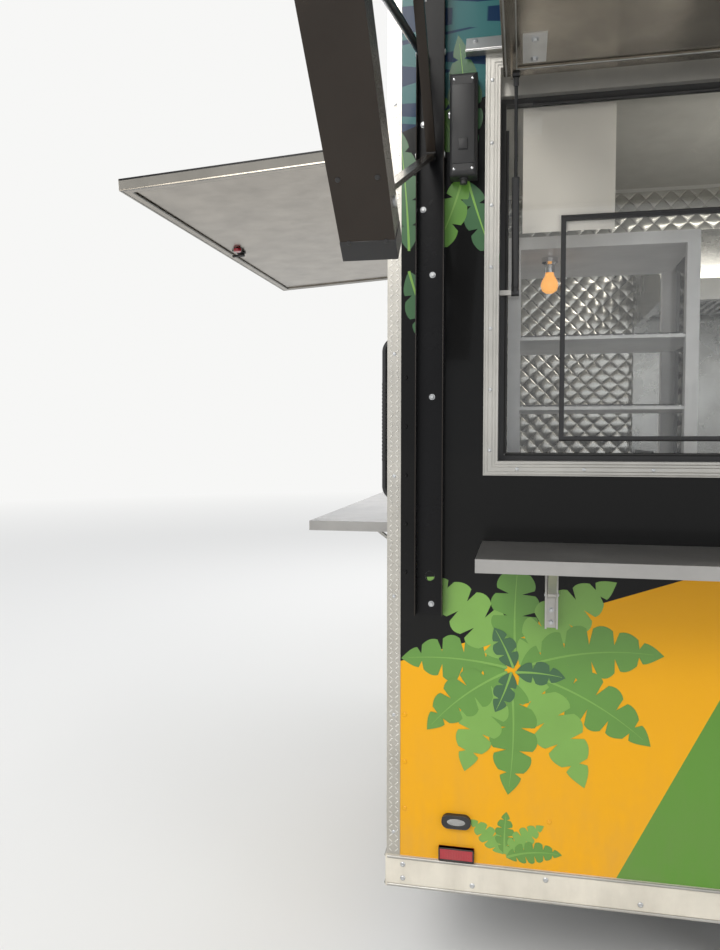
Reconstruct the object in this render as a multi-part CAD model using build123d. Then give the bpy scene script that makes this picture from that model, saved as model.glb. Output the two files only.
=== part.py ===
"""Towed food trailer with a side and a rear service window, a wall awning and tandem axles.

Millimetres. In this file x = 0 is the rear wall's outer face, y = 0 the centreline, z = 0 the ground.
+X points to the tongue, +Y to the street side. The kerb side, at -Y, has the large service window.
The pieces are moved at the end, so that the origin is the bottom centre of the whole trailer.
"""

from build123d import *
from math import atan2, cos, degrees, radians, sin
import os

# Body shell
BODY_LENGTH = 4880.0
BODY_WIDTH = 2590.0
WALL = 57.0
RAIL_LOW_Z = 345.0
RAIL_HIGH_Z = 427.0
RAIL_PROUD = 4.0
RAIL_DEPTH = 45.0
FLOOR_THICKNESS = 23.0
WALL_TOP_Z = 2823.0
ROOF_EDGE_Z = 2880.0
ROOF_CROWN = 38.0
TRIM_LEG = 33.0
TRIM_PROUD = 1.6
ROOF_TRIM_LOW_Z = 2804.0
ROOF_TRIM_PROUD = 5.0

# Chassis
MAIN_RAIL_INSET = 415.0
MAIN_RAIL_WIDTH = 51.0
MAIN_RAIL_DEPTH = 102.0
CROSS_MEMBER_DEPTH = 76.0
CROSS_MEMBER_WIDTH = 45.0
CROSS_MEMBER_PITCH = 406.0
TONGUE_LENGTH = 1300.0
TONGUE_LEG_TAIL = 200.0
TONGUE_HALF_ANGLE = 25.0
TONGUE_TUBE_WIDTH = 51.0
COUPLER_LENGTH = 240.0
COUPLER_WIDTH = 92.0
COUPLER_HEIGHT = 62.0
COUPLER_BALL_R = 30.0
JACK_BACK = 330.0
JACK_TUBE_R = 28.0
JACK_TOP_Z = 930.0
JACK_FOOT_R = 90.0
JACK_FOOT_HEIGHT = 10.0
JACK_SLEEVE_LOW_Z = 180.0
JACK_STEP = 6.0
JACK_COLLAR = 16.0
JACK_COLLAR_HEIGHT = 12.0
JACK_HEAD_HEIGHT = 26.0
CRANK_R = 8.0
CRANK_RISE = 18.0
CRANK_REACH = 142.0
CRANK_GRIP_R = 13.0
CRANK_GRIP_HEIGHT = 90.0
STABILISER_X = 1060.0
STABILISER_INSET = 285.0
STABILISER_TUBE = 57.0
STABILISER_SLEEVE_LOW_Z = 170.0
STABILISER_STEP = 6.0
STABILISER_FOOT = 150.0
STABILISER_FOOT_HEIGHT = 8.0
STABILISER_PLATE = 12.0

# Wheels and axles
TYRE_R = 344.5
TYRE_WIDTH = 203.0
RIM_R = 190.5
WHEEL_INSET = 167.0
AXLE_GROUP_X = 2130.0
AXLE_SPACING = 889.0
TORSION_TUBE = 76.0
TORSION_ARM = 152.0
HUB_R = 52.0
SPINDLE_R = 20.0
RUNNING_GAP = 0.05
ARCH_CLEAR_X = 62.0
ARCH_TOP_Z = 786.0
ARCH_CORNER_R = 260.0
FLARE_WIDTH = 48.0
FLARE_PROUD = 34.0
FLARE_SHEET = 3.0
WHEEL_BOX_INSET = 310.0
WHEEL_BOX_SHEET = 3.0

# Service windows, one bay on the kerb side and one at the rear
SIDE_FRAME_LEFT = 237.0
SIDE_OPENING = 1830.0
REAR_OPENING = 1796.0
SILL_Z = 1438.0
HEAD_Z = 2383.0
FLANGE_WIDTH = 32.0
FLANGE_PROUD = 6.0
JAMB_SHEET = 3.0
JAMB_INSIDE = 28.0
GASKET = 13.0
SASH_BAR = 12.0
SLIDER_INSET = 151.0
SLIDER_RISE = 52.0
SLIDER_HEIGHT = 555.0
SLIDER_DEPTH = 12.0
HEADER_HEIGHT = 53.0
HEADER_OUT = 38.0
GLASS = 5.0
HATCH_THICKNESS = 38.0
HATCH_CLEAR = 8.0
HATCH_EDGE = 30.0
HATCH_SKIN = 2.0
HINGE_R = 3.5
HINGE_OUT = 10.0
HINGE_RISE = 8.0
HINGE_LEAF = 45.0
SIDE_HATCH_OPEN = 90.0
REAR_HATCH_OPEN = 86.4
DRIP_CAP_RISE = 42.0
DRIP_CAP_OUT = 26.0
DRIP_CAP_OVERHANG = 79.0

# Gas struts of the hatches
STRUT_IN = 54.0
STRUT_Z = 1857.0
STRUT_INSET = 38.0
STRUT_BARREL_R = 9.0
STRUT_ROD_R = 4.0
STRUT_BARREL_LENGTH = 268.0
STRUT_EYE_R = 8.0
STRUT_FOOT_WIDTH = 19.0
STRUT_HATCH_OUT = 90.0
STRUT_HATCH_CLEAR = 20.0
EAR_BELOW = 20.0
EAR_ABOVE = 11.0
PIVOT_GAP = 0.3
PIVOT_PLATE = 4.0

# Fold-down shelves
SHELF_TOP_Z = 1244.5
SHELF_DEPTH = 306.0
SHELF_EDGE = 29.0
SHELF_SHEET = 2.0
SHELF_HINGE_OUT = 4.0
SHELF_HINGE_DROP = 32.0
BRACKET_INSET = 167.0
BRACKET_WIDTH = 31.0
UPRIGHT_OUT = 18.0
UPRIGHT_LOW_Z = 1036.0
BRACE_PIVOT_Z = 1120.0
BRACE_LENGTH = 188.0
BRACE_WIDTH = 20.0
BRACE_THICKNESS = 8.0
BRACE_PIVOT_R = 9.0

# Entry door in the kerb wall
DOOR_TO_FRONT = 507.0
DOOR_WIDTH = 813.0
DOOR_HEAD_Z = 2350.0
DOOR_CLEAR = 5.0
DOOR_THICKNESS = 40.0
DOOR_HINGE_R = 7.0
DOOR_HINGE_OUT = 15.0
DOOR_HINGE_HALF = 45.0
DOOR_KNUCKLE_HALF = 20.0
DOOR_PIN_R = 3.0
DOOR_HINGE_HEIGHTS = (0.14, 0.5, 0.86)
DOOR_HINGE_LEAF = 55.0
DOOR_FRAME_LEAF = 25.0
DOOR_PANEL_INSET = 160.0
DOOR_PANEL_LOW = 1150.0
DOOR_PANEL_DEPTH = 3.0
DOOR_THRESHOLD = 20.0
HANDLE_RISE = 1000.0
HANDLE_INSET = 55.0
HANDLE_PLATE_WIDTH = 50.0
HANDLE_PLATE_HEIGHT = 140.0
HANDLE_PLATE_OUT = 10.0
HANDLE_OUT = 45.0
HANDLE_LENGTH = 105.0
HANDLE_STEM_R = 11.0
HANDLE_R = 8.0

# Awning, distances out from the kerb wall
AWNING_X = 107.0
AWNING_TO_DOOR = 403.0
CHANNEL_WIDTH = 68.0
CHANNEL_OUT = 35.0
CHANNEL_SHEET = 2.0
CHANNEL_LOW_Z = 1057.0
CHANNEL_HOLE_R = 12.0
CHANNEL_HOLE_Z = 1152.0
PIVOT_OUT = 26.0
LINK_PIVOT_Z = 2180.0
LINK_LENGTH = 863.7
LINK_ANGLE = -23.2
ARM_ANGLE = 43.8
ARM_WIDTH = 83.0
ARM_SHEET = 2.5
ARM_WEB = 31.0
ARM_FLANGE = 21.0
ARM_CLEAR = 5.0
ARM_BELOW = 75.0
ARM_CAP = 6.0
ARM_LENGTH = 1330.0
BAR_LENGTH = 585.0
LANE_WIDTH = 22.0
LANE_X = 3.0
LINK_THICKNESS = 10.0
BAR_THICKNESS = 16.0
KNUCKLE_R = 14.0
KNUCKLE_GAP = 0.5
UPPER_LINK_X = 22.5
UPPER_LINK_SHEET = 8.0
AWNING_STRUT_X = -21.5
AWNING_STRUT_Z = 2420.0
AWNING_STRUT_ON_ARM = 410.0
AWNING_STRUT_SEAT = 12.0
AWNING_BARREL_R = 9.0
AWNING_ROD_R = 5.0
AWNING_FOOT_R = 10.5
AWNING_EYE_R = 8.5
AWNING_EYE_WIDTH = 17.0
AWNING_BARREL_LENGTH = 640.0
AWNING_PISTON_LENGTH = 560.0
LANE_PLATE = 3.5
ROLLER_R = 38.0
ROLLER_OFFSET = 30.0
ROLLER_END_GAP = 8.0
FABRIC_RAIL_Z = 2790.0
FABRIC_RAIL_OUT = 16.0
FABRIC_RAIL_HEIGHT = 14.0
FABRIC_THICKNESS = 3.0
FABRIC_SEAT = 0.3

# Fittings on the walls
CONTROL_BOX_X = 187.0
CONTROL_BOX_WIDTH = 65.0
CONTROL_BOX_LOW_Z = 2120.0
CONTROL_BOX_HEIGHT = 240.0
CONTROL_BOX_OUT = 48.0
GRAB_BAR_INSET = 270.0
GRAB_BAR_LOW_Z = 1326.0
GRAB_BAR_HEIGHT = 450.0
GRAB_BAR_OUT = 54.0
GRAB_BAR_R = 9.0
MARKER_X = 177.5
MARKER_WIDTH = 89.0
MARKER_LOW_Z = 431.0
MARKER_HEIGHT = 33.0
OVAL_LAMP_X = 177.0
OVAL_LAMP_Z = 531.5
OVAL_LAMP_WIDTH = 74.0
OVAL_LAMP_HEIGHT = 35.0
TAIL_LAMP_INSET = 215.0
TAIL_LAMP_Z = 560.0
TAIL_LAMP_WIDTH = 165.0
TAIL_LAMP_HEIGHT = 60.0
LAMP_PROUD = 12.0

# Kitchen inside
COUNTER_SHELF_Z = 1000.0
COUNTER_SHELF_HEIGHT = 25.0
COUNTER_TOP_Z = 1372.0
COUNTER_DEPTH = 620.0
COUNTER_SHEET = 40.0
COUNTER_LEG = 40.0
COUNTER_LENGTH = 3000.0
CABINET_LEFT = 290.0
CABINET_WIDTH = 480.0
CABINET_HEIGHT = 655.0
CABINET_DEPTH = 400.0
CABINET_BACK_OFF = 110.0
CABINET_BASE = 70.0
CABINET_POST = 32.0
CABINET_SHELVES = (200.0, 385.0)
COOKING_X = 900.0
COOKING_LENGTH = 2700.0
COOKING_BLOCK_LOW_Z = 1000.0
COOKING_DEPTH = 720.0
COOKING_TOP_Z = 1364.0
HOOD_LOW_Z = 2080.0
HOOD_HEIGHT = 380.0
HOOD_DEPTH = 900.0
LINING = 2.0
VENT_X = 2250.0
VENT_FROM_WALL = 645.0
VENT_R = 290.0
VENT_HEIGHT = 330.0

# Gas bottles on the tongue
BOTTLE_R = 150.0
BOTTLE_HEIGHT = 480.0
BOTTLE_Y = 175.0
BOTTLE_FORWARD = 330.0
TRAY_SHEET = 5.0
TRAY_LIP = 30.0

HALF = BODY_WIDTH / 2
MAIN_RAIL_Y = HALF - MAIN_RAIL_INSET
VENT_Y = HALF - VENT_FROM_WALL
SLIDER_LOW_Z = SILL_Z + SLIDER_RISE
SLIDER_HIGH_Z = SLIDER_LOW_Z + SLIDER_HEIGHT
HEADER_LOW_Z = HEAD_Z - HEADER_HEIGHT
STABILISER_Y = HALF - STABILISER_INSET
WHEEL_Y = HALF - WHEEL_INSET
WHEEL_BOX_Y = HALF - WHEEL_BOX_INSET
GRAB_BAR_Y = GRAB_BAR_INSET - HALF
TAIL_LAMP_Y = HALF - TAIL_LAMP_INSET
FLOOR_TOP_Z = RAIL_HIGH_Z + FLOOR_THICKNESS
SIDE_CENTRE_X = SIDE_FRAME_LEFT + FLANGE_WIDTH + SIDE_OPENING / 2
AXLES_X = (AXLE_GROUP_X - AXLE_SPACING / 2, AXLE_GROUP_X + AXLE_SPACING / 2)
ARCH_LOW_X = AXLES_X[0] - TYRE_R - ARCH_CLEAR_X
ARCH_HIGH_X = AXLES_X[1] + TYRE_R + ARCH_CLEAR_X
DOOR_LEFT = BODY_LENGTH - DOOR_TO_FRONT - DOOR_WIDTH
AWNING_SPAN = DOOR_LEFT - AWNING_TO_DOOR - AWNING_X
COUPLER_TIP_X = BODY_LENGTH + TONGUE_LENGTH
MAIN_RAIL_LOW_Z = RAIL_HIGH_Z - MAIN_RAIL_DEPTH
AWNINGS = ((AWNING_X, 1.0), (AWNING_X + AWNING_SPAN, -1.0))

parts = {}


def block(x0, x1, y0, y1, z0, z1):
    """A box between two corners."""
    centre = Pos((x0 + x1) / 2, (y0 + y1) / 2, (z0 + z1) / 2)
    return centre * Box(abs(x1 - x0), abs(y1 - y0), abs(z1 - z0))


def rod(start, end, radius):
    """A round bar between two points."""
    path = Vector(*end) - Vector(*start)
    plane = Plane(origin=start, z_dir=path)
    return plane * Cylinder(radius, path.length, align=(Align.CENTER, Align.CENTER, Align.MIN))


def slab(start, end, width, thickness):
    """A flat bar between two points of one x: its width lies along x."""
    path = Vector(*end) - Vector(*start)
    plane = Plane(origin=start, x_dir=(1, 0, 0), z_dir=path)
    return plane * Box(width, thickness, path.length, align=(Align.CENTER, Align.CENTER, Align.MIN))


def drum(x, y, z, radius, width):
    """A cylinder along x, centred on x."""
    return Pos(x, y, z) * Rot(0, 90, 0) * Cylinder(radius, width)


def both_sides(shape):
    """The shape and its mirror image across the centreline."""
    return [shape, mirror(shape, about=Plane.XZ)]


def keep(name, *shapes):
    """Stores the solids of one node."""
    solids = []
    for shape in shapes:
        solids.extend(shape.solids())
    parts[name] = solids


def arch_face(grow):
    """The outline of a tandem wheel opening in the x-z plane, grown outwards by a margin."""
    low_x = ARCH_LOW_X - grow
    high_x = ARCH_HIGH_X + grow
    top_z = ARCH_TOP_Z + grow
    radius = ARCH_CORNER_R + grow
    outline = Polyline(
        (low_x, top_z - radius), (low_x, RAIL_LOW_Z - 20), (high_x, RAIL_LOW_Z - 20), (high_x, top_z - radius)
    )
    front = RadiusArc((high_x, top_z - radius), (high_x - radius, top_z), -radius)
    top = Line((high_x - radius, top_z), (low_x + radius, top_z))
    rear = RadiusArc((low_x + radius, top_z), (low_x, top_z - radius), -radius)
    face = make_face(outline + front + top + rear)
    return Plane.XZ * face


def arch_cutter(grow, y0, y1):
    """A block of the wheel opening's outline from y0 to y1."""
    return Pos(0, y1, 0) * extrude(arch_face(grow), y1 - y0, dir=(0, -1, 0))


# Chassis

def chassis():
    """Main rails, cross members and the tongue, all flush under the floor."""
    inner = MAIN_RAIL_Y - MAIN_RAIL_WIDTH / 2
    outer = MAIN_RAIL_Y + MAIN_RAIL_WIDTH / 2
    rail_end = BODY_LENGTH - RAIL_DEPTH + RAIL_PROUD
    rails = [
        block(RAIL_DEPTH, rail_end, side * inner, side * outer, MAIN_RAIL_LOW_Z, RAIL_HIGH_Z)
        for side in (-1, 1)
    ]
    keep("main_rails", *rails)
    count = int((BODY_LENGTH - 2 * RAIL_DEPTH) // CROSS_MEMBER_PITCH)
    first = (BODY_LENGTH - count * CROSS_MEMBER_PITCH) / 2
    edge = HALF + RAIL_PROUD - RAIL_DEPTH
    low_z = RAIL_HIGH_Z - CROSS_MEMBER_DEPTH
    members = []
    tongue_start = tongue_joint_x() - 60
    for index in range(count + 1):
        x = first + index * CROSS_MEMBER_PITCH
        x0 = x - CROSS_MEMBER_WIDTH / 2
        x1 = x + CROSS_MEMBER_WIDTH / 2
        if x < tongue_start:
            members.append(block(x0, x1, -inner, inner, low_z, RAIL_HIGH_Z))
        if ARCH_LOW_X - CROSS_MEMBER_WIDTH < x < ARCH_HIGH_X + CROSS_MEMBER_WIDTH:
            continue
        for side in (-1, 1):
            members.append(block(x0, x1, side * outer, side * edge, low_z, RAIL_HIGH_Z))
    keep("cross_members", *members)


def tongue_joint_x():
    """Where the tongue's legs meet the inner faces of the main rails."""
    reach = (MAIN_RAIL_Y - MAIN_RAIL_WIDTH / 2) / sin(radians(TONGUE_HALF_ANGLE))
    return COUPLER_TIP_X - COUPLER_LENGTH / 2 - reach * cos(radians(TONGUE_HALF_ANGLE))


def tongue():
    """Two converging tubes with a front crosspiece, the jack's plate and the bottle tray."""
    apex_x = COUPLER_TIP_X - COUPLER_LENGTH / 2
    reach = (MAIN_RAIL_Y - MAIN_RAIL_WIDTH / 2) / sin(radians(TONGUE_HALF_ANGLE))
    frame = None
    for side in (-1, 1):
        direction = Vector(-cos(radians(TONGUE_HALF_ANGLE)), side * sin(radians(TONGUE_HALF_ANGLE)), 0)
        plane = Plane(origin=(apex_x, 0, (MAIN_RAIL_LOW_Z + RAIL_HIGH_Z) / 2), x_dir=(0, 0, 1), z_dir=direction)
        leg = plane * Box(
            MAIN_RAIL_DEPTH, TONGUE_TUBE_WIDTH, reach + TONGUE_LEG_TAIL, align=(Align.CENTER, Align.CENTER, Align.MIN)
        )
        frame = leg if frame is None else frame + leg
    inner = MAIN_RAIL_Y - MAIN_RAIL_WIDTH / 2
    window = block(
        tongue_joint_x() - 80, COUPLER_TIP_X, -inner, inner, MAIN_RAIL_LOW_Z, RAIL_HIGH_Z
    )
    frame = frame & window
    nose = block(apex_x - 60, apex_x + 30, -COUPLER_WIDTH / 2, COUPLER_WIDTH / 2, MAIN_RAIL_LOW_Z, RAIL_HIGH_Z)
    frame = frame + nose
    jack_x = COUPLER_TIP_X - JACK_BACK
    plate_half = (apex_x - jack_x) * sin(radians(TONGUE_HALF_ANGLE)) + 60
    frame = frame + block(
        jack_x - 70, jack_x + 70, -plate_half, plate_half, RAIL_HIGH_Z, RAIL_HIGH_Z + TRAY_SHEET
    )
    frame = frame - Pos(jack_x, 0, RAIL_HIGH_Z) * Cylinder(JACK_TUBE_R + PIVOT_GAP, 4 * MAIN_RAIL_DEPTH)
    bottle_x = BODY_LENGTH + BOTTLE_FORWARD
    half_x = BOTTLE_R + 25
    half_y = BOTTLE_Y + BOTTLE_R + 20
    tray = block(bottle_x - half_x, bottle_x + half_x, -half_y, half_y, RAIL_HIGH_Z, RAIL_HIGH_Z + TRAY_LIP)
    tray = tray - block(
        bottle_x - half_x + TRAY_SHEET, bottle_x + half_x - TRAY_SHEET,
        -half_y + TRAY_SHEET, half_y - TRAY_SHEET,
        RAIL_HIGH_Z + TRAY_SHEET, RAIL_HIGH_Z + 2 * TRAY_LIP,
    )
    keep("tongue_frame", frame + tray)


def coupler():
    """A stamped ball coupler: a channel with a rounded nose and a socket below, and its latch."""
    back_x = COUPLER_TIP_X - COUPLER_LENGTH
    nose_x = COUPLER_TIP_X - COUPLER_WIDTH / 2
    low_z = RAIL_HIGH_Z
    high_z = RAIL_HIGH_Z + COUPLER_HEIGHT
    body = block(back_x, nose_x, -COUPLER_WIDTH / 2, COUPLER_WIDTH / 2, low_z, high_z)
    body = body + Pos(nose_x, 0, (low_z + high_z) / 2) * Cylinder(COUPLER_WIDTH / 2, COUPLER_HEIGHT)
    body = body - Pos(nose_x, 0, low_z + 20) * Sphere(COUPLER_BALL_R)
    body = body - Pos(nose_x, 0, low_z + 5) * Cylinder(COUPLER_BALL_R, 40)
    latch = block(back_x + 60, nose_x + 10, -12, 12, high_z, high_z + 22)
    latch = latch + rod((back_x + 70, 0, high_z + 22), (back_x + 20, 0, high_z + 60), 9)
    keep("coupler", body + latch)


def jacks():
    """The tongue jack with its crank, and the two rear stabiliser legs."""
    x = COUPLER_TIP_X - JACK_BACK
    plate_z = RAIL_HIGH_Z + TRAY_SHEET + PIVOT_GAP
    crank_z = JACK_TOP_Z + JACK_HEAD_HEIGHT + CRANK_RISE
    stem = rod((x, 0, 0), (x, 0, JACK_FOOT_HEIGHT), JACK_FOOT_R)
    stem = stem + rod((x, 0, JACK_FOOT_HEIGHT), (x, 0, JACK_SLEEVE_LOW_Z), JACK_TUBE_R - JACK_STEP)
    stem = stem + rod((x, 0, JACK_SLEEVE_LOW_Z), (x, 0, JACK_TOP_Z), JACK_TUBE_R)
    stem = stem + rod((x, 0, plate_z), (x, 0, plate_z + JACK_COLLAR_HEIGHT), JACK_TUBE_R + JACK_COLLAR)
    stem = stem + rod((x, 0, JACK_TOP_Z), (x, 0, JACK_TOP_Z + JACK_HEAD_HEIGHT), JACK_TUBE_R + JACK_STEP)
    arm = rod((x, 0, JACK_TOP_Z + JACK_HEAD_HEIGHT), (x, 0, crank_z), CRANK_R)
    arm = arm + block(x - CRANK_R, x + CRANK_R, -CRANK_R, CRANK_REACH + CRANK_R, crank_z - CRANK_R / 2,
                      crank_z + CRANK_R / 2)
    arm = arm + rod((x, CRANK_REACH, crank_z), (x, CRANK_REACH, crank_z + CRANK_GRIP_HEIGHT), CRANK_GRIP_R)
    keep("tongue_jack", stem + arm)
    legs = []
    half = STABILISER_TUBE / 2
    step = half - STABILISER_STEP
    foot = STABILISER_FOOT / 2
    for side in (-1, 1):
        y = side * STABILISER_Y
        leg = block(STABILISER_X - half, STABILISER_X + half, y - half, y + half,
                    STABILISER_SLEEVE_LOW_Z, MAIN_RAIL_LOW_Z)
        leg = leg + block(STABILISER_X - step, STABILISER_X + step, y - step, y + step,
                          STABILISER_FOOT_HEIGHT, STABILISER_SLEEVE_LOW_Z)
        leg = leg + block(STABILISER_X - foot, STABILISER_X + foot, y - foot, y + foot, 0, STABILISER_FOOT_HEIGHT)
        leg = leg + block(STABILISER_X - half, STABILISER_X + half, side * (MAIN_RAIL_Y - half), y + side * half,
                          MAIN_RAIL_LOW_Z - STABILISER_PLATE, MAIN_RAIL_LOW_Z)
        legs.append(leg)
    keep("stabilisers", *legs)


def gas_bottles():
    """Two upright gas bottles with foot rings, domed ends and valve collars."""
    x = BODY_LENGTH + BOTTLE_FORWARD
    low_z = RAIL_HIGH_Z + TRAY_SHEET
    shoulder = 90.0
    bottles = []
    for side in (-1, 1):
        profile = Polyline(
            (0, 30), (BOTTLE_R * 0.72, 30), (BOTTLE_R * 0.72, 0), (BOTTLE_R * 0.78, 0), (BOTTLE_R * 0.78, 22),
            (BOTTLE_R, 70), (BOTTLE_R, BOTTLE_HEIGHT - shoulder),
        )
        dome = RadiusArc((BOTTLE_R, BOTTLE_HEIGHT - shoulder), (0, BOTTLE_HEIGHT), -BOTTLE_R * 1.25)
        axis = Line((0, BOTTLE_HEIGHT), (0, 30))
        body = revolve(Plane.XZ * make_face(profile + dome + axis), Axis.Z)
        collar = Cylinder(BOTTLE_R * 0.55, 120) - Cylinder(BOTTLE_R * 0.55 - 3, 130)
        collar = collar - Pos(0, -side * BOTTLE_R, 0) * Box(90, BOTTLE_R, 90)
        valve = Pos(0, 0, BOTTLE_HEIGHT + 25) * Cylinder(14, 70)
        body = body + Pos(0, 0, BOTTLE_HEIGHT + 32) * collar + valve
        bottles.append(Pos(x, side * BOTTLE_Y, low_z) * body)
    keep("gas_bottles", *bottles)


# Running gear

def axle(x):
    """A rubber torsion axle: square tube, frame brackets, trailing arms and spindles."""
    tube_z = MAIN_RAIL_LOW_Z - 8 - TORSION_TUBE / 2
    arm_y = MAIN_RAIL_Y + 75
    drop = TYRE_R - tube_z
    back = (TORSION_ARM**2 - drop**2) ** 0.5
    tube_x = x + back
    half = TORSION_TUBE / 2
    shape = block(tube_x - half, tube_x + half, -arm_y, arm_y, tube_z - half, tube_z + half)
    for side in (-1, 1):
        y = side * MAIN_RAIL_Y
        shape = shape + block(tube_x - 110, tube_x + 110, y - 30, y + 30, tube_z, MAIN_RAIL_LOW_Z)
        start = (tube_x, side * arm_y, tube_z)
        arm_plane = Plane(origin=start, x_dir=(0, 1, 0), z_dir=Vector(-back, 0, drop))
        arm = arm_plane * Box(26, 64, TORSION_ARM, align=(Align.CENTER, Align.CENTER, Align.MIN))
        ends = (side * (arm_y - 13), side * (arm_y + 13))
        for end_x, end_z in ((tube_x, tube_z), (x, TYRE_R)):
            arm = arm + rod((end_x, ends[0], end_z), (end_x, ends[1], end_z), 32)
        shape = shape + arm
        shape = shape + rod((x, ends[1], TYRE_R), (x, side * (WHEEL_Y + 40), TYRE_R), SPINDLE_R)
    return shape


def tyre():
    """One tyre about the y axis, centred on its own middle."""
    half = TYRE_WIDTH / 2
    tread = 82.0
    bead = 70.0
    profile = Polyline((-bead, RIM_R), (-half + 14, RIM_R + 18))
    outer = Polyline((half - 14, RIM_R + 18), (bead, RIM_R), (-bead, RIM_R))
    left = ThreePointArc((-half + 14, RIM_R + 18), (-half, RIM_R + 78), (-tread, TYRE_R - 9))
    crown = ThreePointArc((-tread, TYRE_R - 9), (0, TYRE_R), (tread, TYRE_R - 9))
    right = ThreePointArc((tread, TYRE_R - 9), (half, RIM_R + 78), (half - 14, RIM_R + 18))
    face = make_face(profile + left + crown + right + outer)
    return revolve(Plane.YZ * face, Axis.Y)


def rim(outward):
    """A pressed steel wheel with its hub about the y axis; outward is the sign of its outer side."""
    seat = RIM_R - PIVOT_GAP
    barrel = Polyline(
        (-70, seat), (70, seat), (70, seat - 14), (52, seat - 20), (20, seat - 34), (20, HUB_R + 34),
        (44, HUB_R + 14), (44, HUB_R), (60, HUB_R), (60, 30), (48, 26), (48, 0), (41, 0), (41, SPINDLE_R + RUNNING_GAP),
        (-52, SPINDLE_R + RUNNING_GAP), (-52, HUB_R), (30, HUB_R), (6, HUB_R + 34), (6, seat - 34),
        (-44, seat - 34), (-60, seat - 18), (-70, seat - 14), (-70, seat),
    )
    face = Plane.YZ * make_face(barrel)
    wheel = revolve(face, Axis.Y)
    window_r = (HUB_R + 34 + seat - 34) / 2
    for index in range(8):
        hole = Rot(0, 45 * index, 0) * Pos(0, 13, window_r) * Rot(90, 0, 0) * Cylinder(13, 40)
        wheel = wheel - hole
    return wheel if outward > 0 else mirror(wheel, about=Plane.XZ)


def running_gear():
    """Two axles and four wheels."""
    keep("torsion_axles", *(axle(x) for x in AXLES_X))
    names = (("kerb", -1), ("street", 1))
    rows = (("rear", AXLES_X[0]), ("front", AXLES_X[1]))
    rubber = tyre()
    for side_name, side in names:
        steel = rim(side)
        for row_name, x in rows:
            place = Pos(x, side * WHEEL_Y, TYRE_R)
            keep(f"tyre_{side_name}_{row_name}", place * rubber)
            keep(f"wheel_{side_name}_{row_name}", place * steel)


def fender_flares():
    """A bright arch trim round each tandem wheel opening."""
    low = HALF - 2
    trim = arch_cutter(FLARE_WIDTH, -HALF - FLARE_SHEET, -HALF) - arch_cutter(0, -HALF - 50, -low)
    lip = arch_cutter(FLARE_SHEET, -HALF - FLARE_PROUD, -HALF) - arch_cutter(0, -HALF - 90, -low)
    flare = trim + lip
    keep_box = block(0, BODY_LENGTH, -HALF - 90, 0, RAIL_HIGH_Z + 1, WALL_TOP_Z)
    keep("fender_flares", *both_sides(flare & keep_box))


# Shell

def floor():
    """Floor deck with a steel box over each pair of wheels."""
    inner = HALF - WALL
    deck = block(WALL, BODY_LENGTH - WALL, -inner, inner, RAIL_HIGH_Z, FLOOR_TOP_Z)
    for side in (-1, 1):
        deck = deck - block(ARCH_LOW_X, ARCH_HIGH_X, side * WHEEL_BOX_Y, side * (inner + 1), 0, 2 * FLOOR_TOP_Z)
        shell = block(ARCH_LOW_X - WHEEL_BOX_SHEET, ARCH_HIGH_X + WHEEL_BOX_SHEET,
                      side * (WHEEL_BOX_Y - WHEEL_BOX_SHEET), side * inner,
                      RAIL_HIGH_Z, ARCH_TOP_Z + WHEEL_BOX_SHEET)
        shell = shell - block(ARCH_LOW_X, ARCH_HIGH_X, side * WHEEL_BOX_Y, side * (inner + 1), 0, ARCH_TOP_Z)
        deck = deck + shell
    keep("floor", deck)


def bay_cutter():
    """The opening of the side window in the kerb wall."""
    return block(SIDE_CENTRE_X - SIDE_OPENING / 2, SIDE_CENTRE_X + SIDE_OPENING / 2,
                 -HALF - 10, -HALF + WALL + 10, SILL_Z, HEAD_Z)


def panels(wall, seams):
    """A long wall cut at its seams into the panels it is joined from, edge to edge."""
    edges = [0] + sorted(seams) + [BODY_LENGTH]
    pieces = []
    for low, high in zip(edges, edges[1:]):
        strip = wall & block(low, high, -HALF - 10, HALF + 10, RAIL_LOW_Z, ROOF_EDGE_Z)
        pieces.extend(strip.solids())
    return pieces


def walls():
    """Side, rear and front walls, each as thick as its frame, skins and lining together."""
    inner = HALF - WALL
    kerb = block(0, BODY_LENGTH, -HALF, -inner, RAIL_HIGH_Z, WALL_TOP_Z)
    kerb = kerb - arch_cutter(0, -HALF - 10, -inner + 10)
    street = mirror(kerb, about=Plane.XZ)
    kerb = kerb - bay_cutter()
    kerb = kerb - block(DOOR_LEFT, DOOR_LEFT + DOOR_WIDTH, -HALF - 10, -inner + 10, FLOOR_TOP_Z, DOOR_HEAD_Z)
    window = (SIDE_CENTRE_X - SIDE_OPENING / 2, SIDE_CENTRE_X + SIDE_OPENING / 2)
    arch = (ARCH_LOW_X, ARCH_HIGH_X)
    keep("wall_kerb", *panels(kerb, window + arch + (DOOR_LEFT, DOOR_LEFT + DOOR_WIDTH)))
    keep("wall_street", *panels(street, arch))
    half = REAR_OPENING / 2
    keep("wall_rear",
         block(0, WALL, -inner, -half, RAIL_HIGH_Z, WALL_TOP_Z),
         block(0, WALL, half, inner, RAIL_HIGH_Z, WALL_TOP_Z),
         block(0, WALL, -half, half, RAIL_HIGH_Z, SILL_Z),
         block(0, WALL, -half, half, HEAD_Z, WALL_TOP_Z))
    keep("wall_front", block(BODY_LENGTH - WALL, BODY_LENGTH, -inner, inner, RAIL_HIGH_Z, WALL_TOP_Z))
    lining = block(WALL + 20, BODY_LENGTH - WALL - 20, inner - LINING, inner, ARCH_TOP_Z + 40, WALL_TOP_Z - 20)
    keep("wall_lining", lining)


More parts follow.
